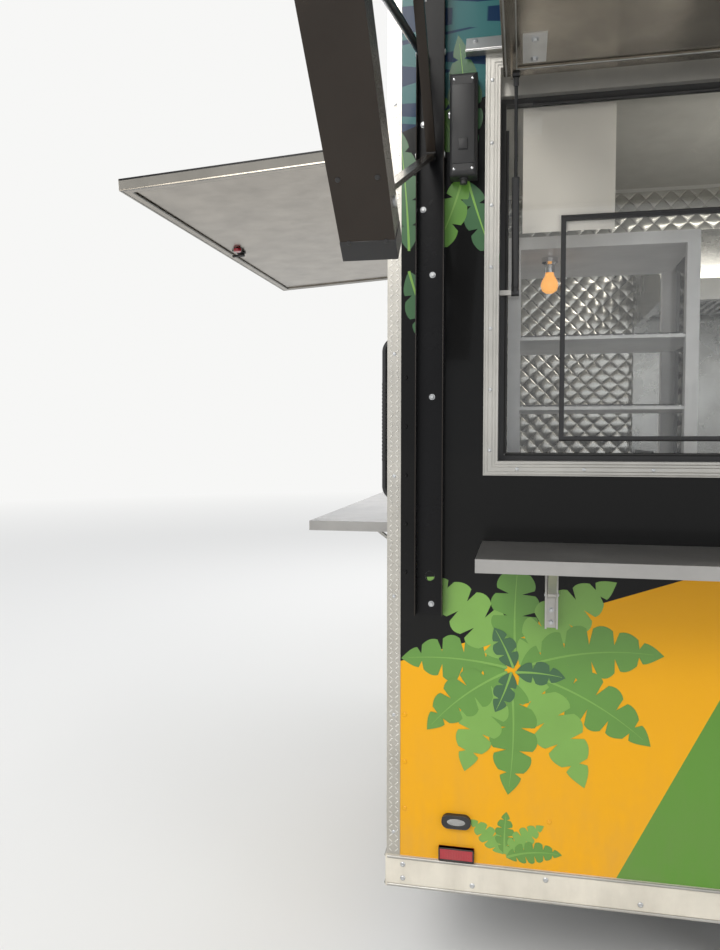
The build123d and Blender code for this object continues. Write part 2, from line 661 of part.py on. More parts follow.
def roof():
    """One-piece roof, slightly crowned across."""
    outline = Polyline((-HALF, ROOF_EDGE_Z), (-HALF, WALL_TOP_Z), (HALF, WALL_TOP_Z), (HALF, ROOF_EDGE_Z))
    crown = ThreePointArc((HALF, ROOF_EDGE_Z), (0, ROOF_EDGE_Z + ROOF_CROWN), (-HALF, ROOF_EDGE_Z))
    face = Plane.YZ * make_face(outline + crown)
    keep("roof", extrude(face, BODY_LENGTH, dir=(1, 0, 0)))
    curb = block(VENT_X - VENT_R, VENT_X + VENT_R, VENT_Y - VENT_R, VENT_Y + VENT_R, ROOF_EDGE_Z, ROOF_EDGE_Z + 110)
    low_z = ROOF_EDGE_Z + 110
    bell = Polyline((0, 0), (VENT_R * 0.8, 0), (VENT_R * 1.1, 60), (VENT_R * 1.1, 95), (VENT_R * 0.75, 190),
                    (0, VENT_HEIGHT - 110), (0, 0))
    cowl = Pos(VENT_X, VENT_Y, low_z) * revolve(Plane.XZ * make_face(bell), Axis.Z)
    keep("roof_vent", (curb + cowl) - parts["roof"][0])


def hoop(proud, depth, low_z, high_z):
    """Four bars round the body, standing proud of its faces, butted with a hairline joint."""
    outer = HALF + proud
    inner = HALF - depth
    bars = []
    for side in (-1, 1):
        bars.append(block(-proud, BODY_LENGTH + proud, side * inner, side * outer, low_z, high_z))
    for x0, x1 in ((-proud, depth), (BODY_LENGTH - depth, BODY_LENGTH + proud)):
        bars.append(block(x0, x1, PIVOT_GAP - inner, inner - PIVOT_GAP, low_z, high_z))
    return bars


def trims():
    """Bottom rail, roof edge trim and four corner angles."""
    rails = hoop(RAIL_PROUD, RAIL_DEPTH - RAIL_PROUD, RAIL_LOW_Z, RAIL_HIGH_Z)
    gap = block(ARCH_LOW_X, ARCH_HIGH_X, -2 * HALF, 2 * HALF, 0, ROOF_EDGE_Z)
    keep("bottom_rails", *(rail - gap - parts["tongue_frame"][0] for rail in rails))
    keep("roof_trim", *hoop(ROOF_TRIM_PROUD, 0, ROOF_TRIM_LOW_Z, ROOF_EDGE_Z))
    low_z = RAIL_HIGH_Z
    high_z = ROOF_TRIM_LOW_Z
    angles = []
    for x, along in ((0.0, 1.0), (BODY_LENGTH, -1.0)):
        for side in (-1, 1):
            face_y = side * HALF
            out_y = side * (HALF + TRIM_PROUD)
            out_x = x - along * TRIM_PROUD
            leg = block(out_x, x + along * TRIM_LEG, face_y, out_y, low_z, high_z)
            back = block(out_x, x, side * (HALF - TRIM_LEG), out_y, low_z, high_z)
            angles.append(leg + back)
    keep("corner_trims", *angles)


# Service bays, made facing -Y about their own centre and then placed

def place_side(shape):
    """Puts a bay piece on the kerb wall."""
    return Pos(SIDE_CENTRE_X, -HALF, 0) * shape


def place_rear(shape):
    """Puts a bay piece on the rear wall."""
    return Rot(0, 0, -90) * shape


def bay_frame(width):
    """The four bars of one window's frame: flange and jamb, with the header rail and drip cap on the top one."""
    half = width / 2
    edge = half + FLANGE_WIDTH
    inside = half - JAMB_SHEET
    low = SILL_Z - FLANGE_WIDTH
    high = HEAD_Z + FLANGE_WIDTH
    deep = WALL + JAMB_INSIDE
    flange = block(-edge, edge, -FLANGE_PROUD, 0, low, high)
    jamb = block(-half, half, -FLANGE_PROUD, deep, SILL_Z, HEAD_Z)
    hole = block(-inside, inside, -50, deep + 50, SILL_Z + JAMB_SHEET, HEAD_Z - JAMB_SHEET)
    mouth = block(-half, half, -50, 0, SILL_Z, HEAD_Z)
    frame = (flange - mouth) + (jamb - hole)
    middle = (low + high) / 2
    left = frame & block(-edge, -inside, -50, deep + 50, low, high)
    right = frame & block(inside, edge, -50, deep + 50, low, high)
    sill = frame & block(-inside, inside, -50, deep + 50, low, middle)
    head = frame & block(-inside, inside, -50, deep + 50, middle, high)
    head = head + block(-inside, inside, HEADER_OUT, deep, HEADER_LOW_Z, HEAD_Z - 1)
    cap_half = half + DRIP_CAP_OVERHANG
    profile = Polyline((0, high), (0, high + DRIP_CAP_RISE), (-2, high + DRIP_CAP_RISE),
                       (-DRIP_CAP_OUT, high + 6), (-DRIP_CAP_OUT, high), (0, high))
    cap = Pos(cap_half, 0, 0) * extrude(Plane.YZ * make_face(profile), 2 * cap_half, dir=(-1, 0, 0))
    return [left, right, sill, head, cap]


def slider_spans(width):
    """Left and right ends of the two sashes of the slider, which meet in the middle."""
    half = width / 2 - SLIDER_INSET
    return ((-half, SASH_BAR / 2), (-SASH_BAR / 2, half))


def bay_sashes(width):
    """The black outer frame on the inner part of the jamb, and the slider's frame set in the pane."""
    half = width / 2 - JAMB_SHEET
    low = SILL_Z + JAMB_SHEET
    high = HEADER_LOW_Z
    y0 = WALL
    y1 = WALL + JAMB_INSIDE
    outer = block(-half, half, y0, y1, low, high)
    outer = outer - block(-half + GASKET, half - GASKET, y0 - 1, y1 + 1, low + GASKET, high - GASKET)
    slider = None
    for left, right in slider_spans(width):
        sash = block(left, right, y1 - SLIDER_DEPTH, y1, SLIDER_LOW_Z, SLIDER_HIGH_Z)
        sash = sash - block(left + SASH_BAR, right - SASH_BAR, y0 - 1, y1 + 1,
                            SLIDER_LOW_Z + SASH_BAR, SLIDER_HIGH_Z - SASH_BAR)
        slider = sash if slider is None else slider + sash
    return [outer, slider]


def bay_glass(width):
    """The large pane with the slider's opening in it, and the slider's own two panes."""
    half = width / 2 - JAMB_SHEET - GASKET
    low = SILL_Z + JAMB_SHEET + GASKET
    high = HEADER_LOW_Z - GASKET
    y = WALL + JAMB_INSIDE - SLIDER_DEPTH / 2
    ends = slider_spans(width)
    pane = block(-half, half, y - GLASS / 2, y + GLASS / 2, low, high)
    pane = pane - block(ends[0][0], ends[1][1], y - GLASS, y + GLASS, SLIDER_LOW_Z, SLIDER_HIGH_Z)
    panes = [pane]
    for left, right in ends:
        panes.append(block(left + SASH_BAR, right - SASH_BAR, y - GLASS / 2, y + GLASS / 2,
                           SLIDER_LOW_Z + SASH_BAR, SLIDER_HIGH_Z - SASH_BAR))
    return panes


def hatch_closed(width):
    """A framed hatch panel with its hinge, as it lies when shut."""
    half = width / 2 - HATCH_CLEAR - JAMB_SHEET
    low = SILL_Z + JAMB_SHEET + HATCH_CLEAR
    high = HEAD_Z - JAMB_SHEET - 2
    outer_y = -FLANGE_PROUD
    inner_y = outer_y + HATCH_THICKNESS
    panel = block(-half, half, outer_y, inner_y, low, high)
    panel = panel - block(-half + HATCH_EDGE, half - HATCH_EDGE, inner_y - 6, inner_y + 5,
                          low + HATCH_EDGE, high - HATCH_EDGE)
    axis_z = HEAD_Z + HINGE_RISE
    leaf = block(-half, half, -HINGE_OUT, outer_y, axis_z - HINGE_LEAF, high)
    leaf = leaf + block(-half, half, -HINGE_OUT, -HINGE_OUT + 2, high - 1, axis_z)
    knuckle = drum(0, -HINGE_OUT, axis_z, HINGE_R, 2 * half)
    eye_z = axis_z - STRUT_HATCH_OUT
    pieces = [panel + leaf + knuckle]
    for side in (-1, 1):
        x = side * (half - STRUT_INSET + STRUT_EYE_R + HATCH_CLEAR + PIVOT_GAP)
        pieces.append(block(x, x + side * PIVOT_PLATE, inner_y, inner_y + STRUT_HATCH_CLEAR + 2 * STRUT_EYE_R,
                            eye_z - EAR_BELOW, eye_z + EAR_ABOVE))
    return pieces


def hinge_axis(angle):
    """Rotation that swings a shut hatch open about its hinge."""
    origin = (0, -HINGE_OUT, HEAD_Z + HINGE_RISE)
    return Pos(*origin) * Rot(-angle, 0, 0) * Pos(-origin[0], -origin[1], -origin[2])


def strut_hatch_point(angle):
    """Where a gas strut's eye meets the hatch, in the bay's y and z, at an opening angle."""
    dy = HATCH_THICKNESS - FLANGE_PROUD + HINGE_OUT + STRUT_HATCH_CLEAR + STRUT_EYE_R
    dz = -STRUT_HATCH_OUT
    turn = radians(-angle)
    y = -HINGE_OUT + dy * cos(turn) - dz * sin(turn)
    z = HEAD_Z + HINGE_RISE + dy * sin(turn) + dz * cos(turn)
    return y, z


def bay_struts(width, angle):
    """Barrels on the jambs and rods up to the hatch, on both sides."""
    barrels = []
    rods = []
    end_y, end_z = strut_hatch_point(angle)
    path = Vector(0, end_y - STRUT_IN, end_z - STRUT_Z).normalized()
    for side in (-1, 1):
        x = side * (width / 2 - JAMB_SHEET - STRUT_INSET)
        foot = Vector(x, STRUT_IN, STRUT_Z)
        head = Vector(x, end_y, end_z)
        barrel = rod(tuple(foot), tuple(foot + path * STRUT_BARREL_LENGTH), STRUT_BARREL_R)
        barrel = barrel + drum(x, STRUT_IN, STRUT_Z, STRUT_EYE_R, STRUT_FOOT_WIDTH)
        barrel = barrel - rod(
            tuple(foot + path * 30), tuple(foot + path * (STRUT_BARREL_LENGTH + 10)), STRUT_ROD_R + PIVOT_GAP
        )
        barrels.append(barrel)
        piston = rod(tuple(foot + path * 140), tuple(head), STRUT_ROD_R)
        piston = piston + drum(x, end_y, end_z, STRUT_EYE_R, 2 * STRUT_EYE_R)
        rods.append(piston)
    return barrels, rods


def strut_feet(width):
    """Small brackets on the jambs that carry the struts' lower eyes."""
    feet = []
    for side in (-1, 1):
        inner_x = side * (width / 2 - JAMB_SHEET)
        eye_x = side * (width / 2 - JAMB_SHEET - STRUT_INSET + STRUT_FOOT_WIDTH / 2 + PIVOT_GAP)
        feet.append(block(inner_x, eye_x, STRUT_IN - 9, STRUT_IN + 2, STRUT_Z - 6, STRUT_Z + 6))
    return feet


def shelf_axis_z():
    return SHELF_TOP_Z - SHELF_HINGE_DROP


def bay_shelf(width):
    """A folded sheet shelf, open below, with its hinge along the wall."""
    half = width / 2 + FLANGE_WIDTH
    low = SHELF_TOP_Z - SHELF_EDGE
    back_y = -SHELF_HINGE_OUT
    pan = block(-half, half, -SHELF_DEPTH, back_y, low, SHELF_TOP_Z)
    pan = pan - block(-half + SHELF_SHEET, half - SHELF_SHEET, -SHELF_DEPTH + SHELF_SHEET, back_y - SHELF_SHEET,
                      low - 5, SHELF_TOP_Z - SHELF_SHEET)
    return pan + drum(0, -SHELF_HINGE_OUT, shelf_axis_z(), HINGE_R, 2 * half)


def bracket_places(width):
    """Middle of each shelf bracket across one bay."""
    half = width / 2 + FLANGE_WIDTH
    return (-half + BRACKET_INSET, 0.0, half - BRACKET_INSET)


def brace_angle():
    """Angle of a shelf brace above the horizontal when it holds the shelf level."""
    rise = SHELF_TOP_Z - SHELF_SHEET - PIVOT_GAP - BRACE_PIVOT_Z - BRACE_PIVOT_R
    return degrees(atan2(rise, (BRACE_LENGTH**2 - rise**2) ** 0.5))


def bay_brackets(width):
    """Wall uprights under the shelf and the braces that swing out from them."""
    uprights = []
    braces = []
    turn = radians(brace_angle())
    high = shelf_axis_z() - HINGE_R - 4
    for x in bracket_places(width):
        upright = block(x - BRACKET_WIDTH / 2, x + BRACKET_WIDTH / 2, -UPRIGHT_OUT, 0, UPRIGHT_LOW_Z, high)
        slot = BRACE_WIDTH / 2 + 1
        upright = upright - block(x - slot, x + slot, -UPRIGHT_OUT - 1, -3, UPRIGHT_LOW_Z - 1, high - 6)
        uprights.append(upright)
        foot = (x, -UPRIGHT_OUT + 3, BRACE_PIVOT_Z)
        head = (x, foot[1] - BRACE_LENGTH * cos(turn), BRACE_PIVOT_Z + BRACE_LENGTH * sin(turn))
        brace = slab(foot, head, BRACE_WIDTH, BRACE_THICKNESS)
        brace = brace + drum(x, foot[1], foot[2], BRACE_PIVOT_R, BRACE_WIDTH)
        brace = brace + drum(x, head[1], head[2], BRACE_PIVOT_R, BRACE_WIDTH)
        braces.append(brace)
    return uprights, braces


def service_bays():
    """Both service windows with their hatches, struts, shelves and brackets."""
    bays = (
        ("side", SIDE_OPENING, SIDE_HATCH_OPEN, place_side),
        ("rear", REAR_OPENING, REAR_HATCH_OPEN, place_rear),
    )
    frames = []
    sashes = []
    panes = []
    uprights = []
    for name, width, angle, place in bays:
        frames.extend(place(piece) for piece in bay_frame(width) + strut_feet(width))
        sashes.extend(place(frame) for frame in bay_sashes(width))
        panes.extend(place(pane) for pane in bay_glass(width))
        keep(f"{name}_hatch", *(place(hinge_axis(angle) * piece) for piece in hatch_closed(width)))
        barrels, rods = bay_struts(width, angle)
        keep(f"{name}_strut_barrels", *(place(shape) for shape in barrels))
        keep(f"{name}_strut_rods", *(place(shape) for shape in rods))
        keep(f"{name}_shelf", place(bay_shelf(width)))
        stands, braces = bay_brackets(width)
        uprights.extend(place(shape) for shape in stands)
        keep(f"{name}_shelf_braces", *(place(shape) for shape in braces))
    keep("window_sashes", *sashes)
    keep("window_glass", *panes)
    keep("shelf_uprights", *uprights)
    return frames


def entry_door():
    """A flush door hung on its front edge, and the four bars of the frame round it."""
    left = DOOR_LEFT
    right = DOOR_LEFT + DOOR_WIDTH
    outer = -HALF - FLANGE_PROUD
    base = FLOOR_TOP_Z - DOOR_THRESHOLD
    top = DOOR_HEAD_Z + FLANGE_WIDTH
    latch_jamb = block(left - FLANGE_WIDTH, left, outer, -HALF, base, top)
    threshold = block(left, right, outer, -HALF, base, FLOOR_TOP_Z)
    head = block(left, right, outer, -HALF, DOOR_HEAD_Z, top)
    jamb = block(right, right + FLANGE_WIDTH, outer, -HALF, base, top)
    gap = DOOR_CLEAR
    door = block(left + gap, right - gap, outer, outer + DOOR_THICKNESS, FLOOR_TOP_Z + gap, DOOR_HEAD_Z - gap)
    door = door - block(left + DOOR_PANEL_INSET, right - DOOR_PANEL_INSET, outer - 1, outer + DOOR_PANEL_DEPTH,
                        FLOOR_TOP_Z + DOOR_PANEL_LOW, DOOR_HEAD_Z - DOOR_PANEL_INSET)
    hinge_x = right - gap
    hinge_y = -HALF - DOOR_HINGE_OUT
    for height in DOOR_HINGE_HEIGHTS:
        z = FLOOR_TOP_Z + height * (DOOR_HEAD_Z - FLOOR_TOP_Z)
        low = z - DOOR_KNUCKLE_HALF
        high = z + DOOR_KNUCKLE_HALF
        door = door + rod((hinge_x, hinge_y, low), (hinge_x, hinge_y, high), DOOR_HINGE_R)
        door = door + block(hinge_x - DOOR_HINGE_LEAF, hinge_x, hinge_y - 1, outer, low, high)
        door = door - rod((hinge_x, hinge_y, low - 1), (hinge_x, hinge_y, high + 1), DOOR_PIN_R + PIVOT_GAP)
        jamb = jamb + rod((hinge_x, hinge_y, low - 5), (hinge_x, hinge_y, high + 5), DOOR_PIN_R)
        for start, end in ((z - DOOR_HINGE_HALF, low - PIVOT_GAP), (high + PIVOT_GAP, z + DOOR_HINGE_HALF)):
            jamb = jamb + rod((hinge_x, hinge_y, start), (hinge_x, hinge_y, end), DOOR_HINGE_R)
            jamb = jamb + block(hinge_x, right + DOOR_FRAME_LEAF, hinge_y - 1, outer + 1, start, end)
    handle_z = FLOOR_TOP_Z + HANDLE_RISE
    handle_x = left + gap + HANDLE_INSET
    half_plate = HANDLE_PLATE_WIDTH / 2
    lever_y = outer - HANDLE_OUT
    door = door + block(handle_x - half_plate, handle_x + half_plate, outer - HANDLE_PLATE_OUT, outer,
                        handle_z - HANDLE_PLATE_HEIGHT / 2, handle_z + HANDLE_PLATE_HEIGHT / 2)
    door = door + rod((handle_x, outer - HANDLE_PLATE_OUT, handle_z), (handle_x, lever_y - HANDLE_STEM_R, handle_z),
                      HANDLE_STEM_R)
    door = door + rod((handle_x, lever_y, handle_z), (handle_x + HANDLE_LENGTH, lever_y, handle_z), HANDLE_R)
    keep("entry_door", door)
    return [latch_jamb, threshold, head, jamb]


# Awning: every shape lies in a y-z plane at a lane's x, mirrored between its two ends

def out(distance):
    return -HALF - distance


def along(point, angle, distance):
    """A point further along a direction in the out-z plane."""
    return (point[0] + distance * cos(radians(angle)), point[1] + distance * sin(radians(angle)))


LINK_FOOT = (PIVOT_OUT, LINK_PIVOT_Z)
ARM_FOOT = along(LINK_FOOT, LINK_ANGLE, LINK_LENGTH)
BAR_HEAD = along(LINK_FOOT, ARM_ANGLE, BAR_LENGTH)
ARM_JOINT = along(ARM_FOOT, ARM_ANGLE, BAR_LENGTH)
ARM_HEAD = along(ARM_FOOT, ARM_ANGLE, ARM_LENGTH)
STRUT_FOOT = (PIVOT_OUT, AWNING_STRUT_Z)
STRUT_HEAD = along(along(ARM_FOOT, ARM_ANGLE, AWNING_STRUT_ON_ARM), ARM_ANGLE + 90, AWNING_STRUT_SEAT)
ROLLER_CENTRE = along(ARM_HEAD, ARM_ANGLE - 90, ROLLER_OFFSET)


def at(x, point):
    """A lane's x and a point of the out-z plane as a point in space."""
    return (x, out(point[0]), point[1])


def lane_bar(x, start, end, width, thickness, trim_start, trim_end):
    """A flat bar whose ends are hollowed to turn round their knuckles."""
    bar = slab(at(x, start), at(x, end), width, thickness)
    if trim_start:
        bar = bar - drum(x, out(start[0]), start[1], KNUCKLE_R + KNUCKLE_GAP, 2 * width)
    if trim_end:
        bar = bar - drum(x, out(end[0]), end[1], KNUCKLE_R + KNUCKLE_GAP, 2 * width)
    return bar


def wall_channel(x, hand):
    """The channel on the wall, with the knuckle of the link and bar and the strut's lug."""
    half = CHANNEL_WIDTH / 2
    channel = block(x - half, x + half, out(CHANNEL_OUT), out(0), CHANNEL_LOW_Z, FABRIC_RAIL_Z)
    channel = channel - block(x - half + CHANNEL_SHEET, x + half - CHANNEL_SHEET, out(CHANNEL_OUT + 1),
                              out(3), CHANNEL_LOW_Z - 1, FABRIC_RAIL_Z - 4)
    channel = channel - Pos(x, out(0), CHANNEL_HOLE_Z) * Rot(90, 0, 0) * Cylinder(CHANNEL_HOLE_R, 8)
    lane = x + hand * LANE_X
    knuckle = drum(lane, out(PIVOT_OUT), LINK_PIVOT_Z, KNUCKLE_R, LANE_WIDTH)
    seat = block(lane - LANE_WIDTH / 2, lane + LANE_WIDTH / 2, out(PIVOT_OUT - 8), out(2),
                 LINK_PIVOT_Z - 7, LINK_PIVOT_Z + 7)
    plate_x = x + hand * (LANE_X - LANE_WIDTH / 2 - KNUCKLE_GAP - LANE_PLATE / 2)
    lug = block(plate_x - LANE_PLATE / 2, plate_x + LANE_PLATE / 2, out(PIVOT_OUT + 8), out(2),
                AWNING_STRUT_Z - 10, AWNING_STRUT_Z + 10)
    return channel + knuckle + seat + lug


def outer_arm(x, hand):
    """The arm's channel, open towards the wall, with its plates for the link, the strut and the upper link."""
    half = ARM_WIDTH / 2
    start = along(ARM_FOOT, ARM_ANGLE, -ARM_BELOW)
    plane = Plane(origin=at(x, start), x_dir=(1, 0, 0), z_dir=Vector(0, -cos(radians(ARM_ANGLE)), sin(radians(ARM_ANGLE))))
    total = ARM_BELOW + ARM_LENGTH + ROLLER_R
    outer = Box(ARM_WIDTH, ARM_WEB + ARM_FLANGE, total, align=(Align.CENTER, Align.CENTER, Align.MIN))
    shift = (ARM_FLANGE - ARM_WEB) / 2
    shell = Pos(0, shift, 0) * outer
    cavity = Box(ARM_WIDTH - 2 * ARM_SHEET, ARM_WEB + ARM_FLANGE, total + 2, align=(Align.CENTER, Align.CENTER, Align.MIN))
    shell = shell - Pos(0, shift + ARM_SHEET, -1) * cavity
    cap_depth = ARM_WEB - (CHANNEL_OUT - PIVOT_OUT) - ARM_CLEAR
    cap = Box(ARM_WIDTH, cap_depth, ARM_CAP, align=(Align.CENTER, Align.CENTER, Align.MIN))
    shell = shell + Pos(0, cap_depth / 2 - ARM_WEB, 0) * cap
    plates = (
        (ARM_BELOW, hand * (LANE_X - LANE_WIDTH / 2 - KNUCKLE_GAP - LANE_PLATE / 2), KNUCKLE_R),
        (ARM_BELOW, hand * (LANE_X + LANE_WIDTH / 2 + KNUCKLE_GAP + LANE_PLATE / 2), KNUCKLE_R),
        (ARM_BELOW + AWNING_STRUT_ON_ARM, hand * (LANE_X - LANE_WIDTH / 2 - KNUCKLE_GAP - LANE_PLATE / 2),
         AWNING_STRUT_SEAT + AWNING_EYE_R),
        (ARM_BELOW + BAR_LENGTH, hand * (LANE_X + LANE_WIDTH / 2 + KNUCKLE_GAP + LANE_PLATE / 2), 10),
    )
    for distance, lane, reach in plates:
        depth = ARM_WEB - 1 + reach
        plate = Box(LANE_PLATE, depth, 2 * reach)
        shell = shell + Pos(lane, depth / 2 - ARM_WEB + 1, distance) * plate
    return plane * shell


def awning():
    """Both arm sets, the roller, the fabric and its rail."""
    channels = None
    links = []
    arms = []
    bars = []
    upper_links = []
    barrels = []
    rods = []
    for x, hand in AWNINGS:
        channel = wall_channel(x, hand)
        channels = channel if channels is None else channels + channel
        lane = x + hand * LANE_X
        link = lane_bar(lane, LINK_FOOT, ARM_FOOT, LANE_WIDTH, LINK_THICKNESS, True, False)
        link = link + drum(lane, out(ARM_FOOT[0]), ARM_FOOT[1], KNUCKLE_R - 2, LANE_WIDTH)
        links.append(link)
        arms.append(outer_arm(x, hand))
        bar = lane_bar(lane, LINK_FOOT, BAR_HEAD, LANE_WIDTH, BAR_THICKNESS, True, False)
        boss_x = lane + hand * (UPPER_LINK_X - UPPER_LINK_SHEET / 2 - PIVOT_GAP - LANE_X) / 2
        boss_width = UPPER_LINK_X - UPPER_LINK_SHEET / 2 - PIVOT_GAP - LANE_X
        bar = bar + drum(boss_x, out(BAR_HEAD[0]), BAR_HEAD[1], BAR_THICKNESS / 2, boss_width)
        bars.append(bar)
        upper_x = x + hand * UPPER_LINK_X
        upper = slab(at(upper_x, BAR_HEAD), at(upper_x, ARM_JOINT), UPPER_LINK_SHEET, LINK_THICKNESS + 6)
        for end in (BAR_HEAD, ARM_JOINT):
            upper = upper + drum(upper_x, out(end[0]), end[1], LINK_THICKNESS, UPPER_LINK_SHEET)
        upper_links.append(upper)
        strut_x = x + hand * AWNING_STRUT_X
        foot = Vector(*at(strut_x, STRUT_FOOT))
        head = Vector(*at(strut_x, STRUT_HEAD))
        path = (head - foot).normalized()
        barrel = rod(tuple(foot), tuple(foot + path * AWNING_BARREL_LENGTH), AWNING_BARREL_R)
        barrel = barrel + drum(strut_x, foot.Y, foot.Z, AWNING_FOOT_R, AWNING_EYE_WIDTH)
        barrel = barrel - rod(
            tuple(foot + path * 15), tuple(foot + path * (AWNING_BARREL_LENGTH + 10)), AWNING_ROD_R + PIVOT_GAP
        )
        barrels.append(barrel)
        piston = rod(tuple(head - path * AWNING_PISTON_LENGTH), tuple(head), AWNING_ROD_R)
        rods.append(piston + drum(strut_x, head.Y, head.Z, AWNING_EYE_R, AWNING_EYE_WIDTH))
    low_x = AWNING_X - CHANNEL_WIDTH / 2
    high_x = AWNING_X + AWNING_SPAN + CHANNEL_WIDTH / 2
    rail = block(low_x, high_x, out(FABRIC_RAIL_OUT), out(0), FABRIC_RAIL_Z - 1, FABRIC_RAIL_Z + FABRIC_RAIL_HEIGHT)
    keep("awning_channels", channels + rail)
    keep("awning_links", *links)
    keep("awning_arms", *arms)
    keep("awning_bars", *bars)
    keep("awning_upper_links", *upper_links)
    keep("awning_strut_barrels", *barrels)
    keep("awning_strut_rods", *rods)
    inner_low = AWNING_X + ARM_WIDTH / 2 + PIVOT_GAP
    inner_high = AWNING_X + AWNING_SPAN - ARM_WIDTH / 2 - PIVOT_GAP
    tube = rod((inner_low + 20, out(ROLLER_CENTRE[0]), ROLLER_CENTRE[1]),
               (inner_high - 20, out(ROLLER_CENTRE[0]), ROLLER_CENTRE[1]), ROLLER_R)
    spindle = rod((inner_low, out(ROLLER_CENTRE[0]), ROLLER_CENTRE[1]),
                  (inner_high, out(ROLLER_CENTRE[0]), ROLLER_CENTRE[1]), 14)
    keep("awning_roller", tube + spindle)
    fabric()


def fabric():
    """The stretched cloth from its wall rail to the top of the roller."""
    low_x = AWNING_X + ARM_WIDTH / 2 + 30
    high_x = AWNING_X + AWNING_SPAN - ARM_WIDTH / 2 - 30
    wall_out = FABRIC_RAIL_OUT + FABRIC_SEAT
    wall_z = FABRIC_RAIL_Z + FABRIC_RAIL_HEIGHT / 2
    run = ROLLER_CENTRE[0] - wall_out
    top_z = ROLLER_CENTRE[1] + ROLLER_R + FABRIC_SEAT
    profile = Polyline(
        (out(wall_out), wall_z), (out(ROLLER_CENTRE[0]), top_z),
        (out(ROLLER_CENTRE[0]), top_z + FABRIC_THICKNESS), (out(wall_out), wall_z + FABRIC_THICKNESS),
        (out(wall_out), wall_z),
    )
    face = Plane.YZ * make_face(profile)
    keep("awning_fabric", Pos(low_x, 0, 0) * extrude(face, high_x - low_x, dir=(1, 0, 0)))


# Fittings and kitchen

def stadium(width, height, depth):
    """A round-ended pad facing -Y, from y = 0 outwards."""
    face = make_face(SlotOverall(width, height).edges())
    return extrude(Plane.XZ * face, depth, dir=(0, -1, 0))


def fittings():
    """Control box, grab bar and lamps."""
    half = CONTROL_BOX_WIDTH / 2
    case = block(CONTROL_BOX_X - half, CONTROL_BOX_X + half, out(CONTROL_BOX_OUT), out(0),
                 CONTROL_BOX_LOW_Z, CONTROL_BOX_LOW_Z + CONTROL_BOX_HEIGHT)
    keep("control_box", fillet(case.faces().sort_by(Axis.Y)[0].edges(), 12))
    top = GRAB_BAR_LOW_Z + GRAB_BAR_HEIGHT
    bend = 34.0
    path = FilletPolyline(
        (0, GRAB_BAR_Y, GRAB_BAR_LOW_Z), (-GRAB_BAR_OUT, GRAB_BAR_Y, GRAB_BAR_LOW_Z),
        (-GRAB_BAR_OUT, GRAB_BAR_Y, top), (0, GRAB_BAR_Y, top), radius=bend,
    )
    section = Plane(origin=(0, GRAB_BAR_Y, GRAB_BAR_LOW_Z), z_dir=(-1, 0, 0)) * Circle(GRAB_BAR_R)
    keep("grab_bar", sweep(section, path=path))
    marker = block(MARKER_X - MARKER_WIDTH / 2, MARKER_X + MARKER_WIDTH / 2, out(LAMP_PROUD), out(0),
                   MARKER_LOW_Z, MARKER_LOW_Z + MARKER_HEIGHT)
    tail = Rot(0, 0, -90) * stadium(TAIL_LAMP_WIDTH, TAIL_LAMP_HEIGHT, LAMP_PROUD)
    lamps = both_sides(marker)
    for side in (-1, 1):
        lamps.append(Pos(0, side * TAIL_LAMP_Y, TAIL_LAMP_Z) * tail)
    keep("red_lamps", *lamps)
    oval = Pos(OVAL_LAMP_X, out(0), OVAL_LAMP_Z) * stadium(OVAL_LAMP_WIDTH, OVAL_LAMP_HEIGHT, LAMP_PROUD)
    keep("oval_lamps", *both_sides(oval))


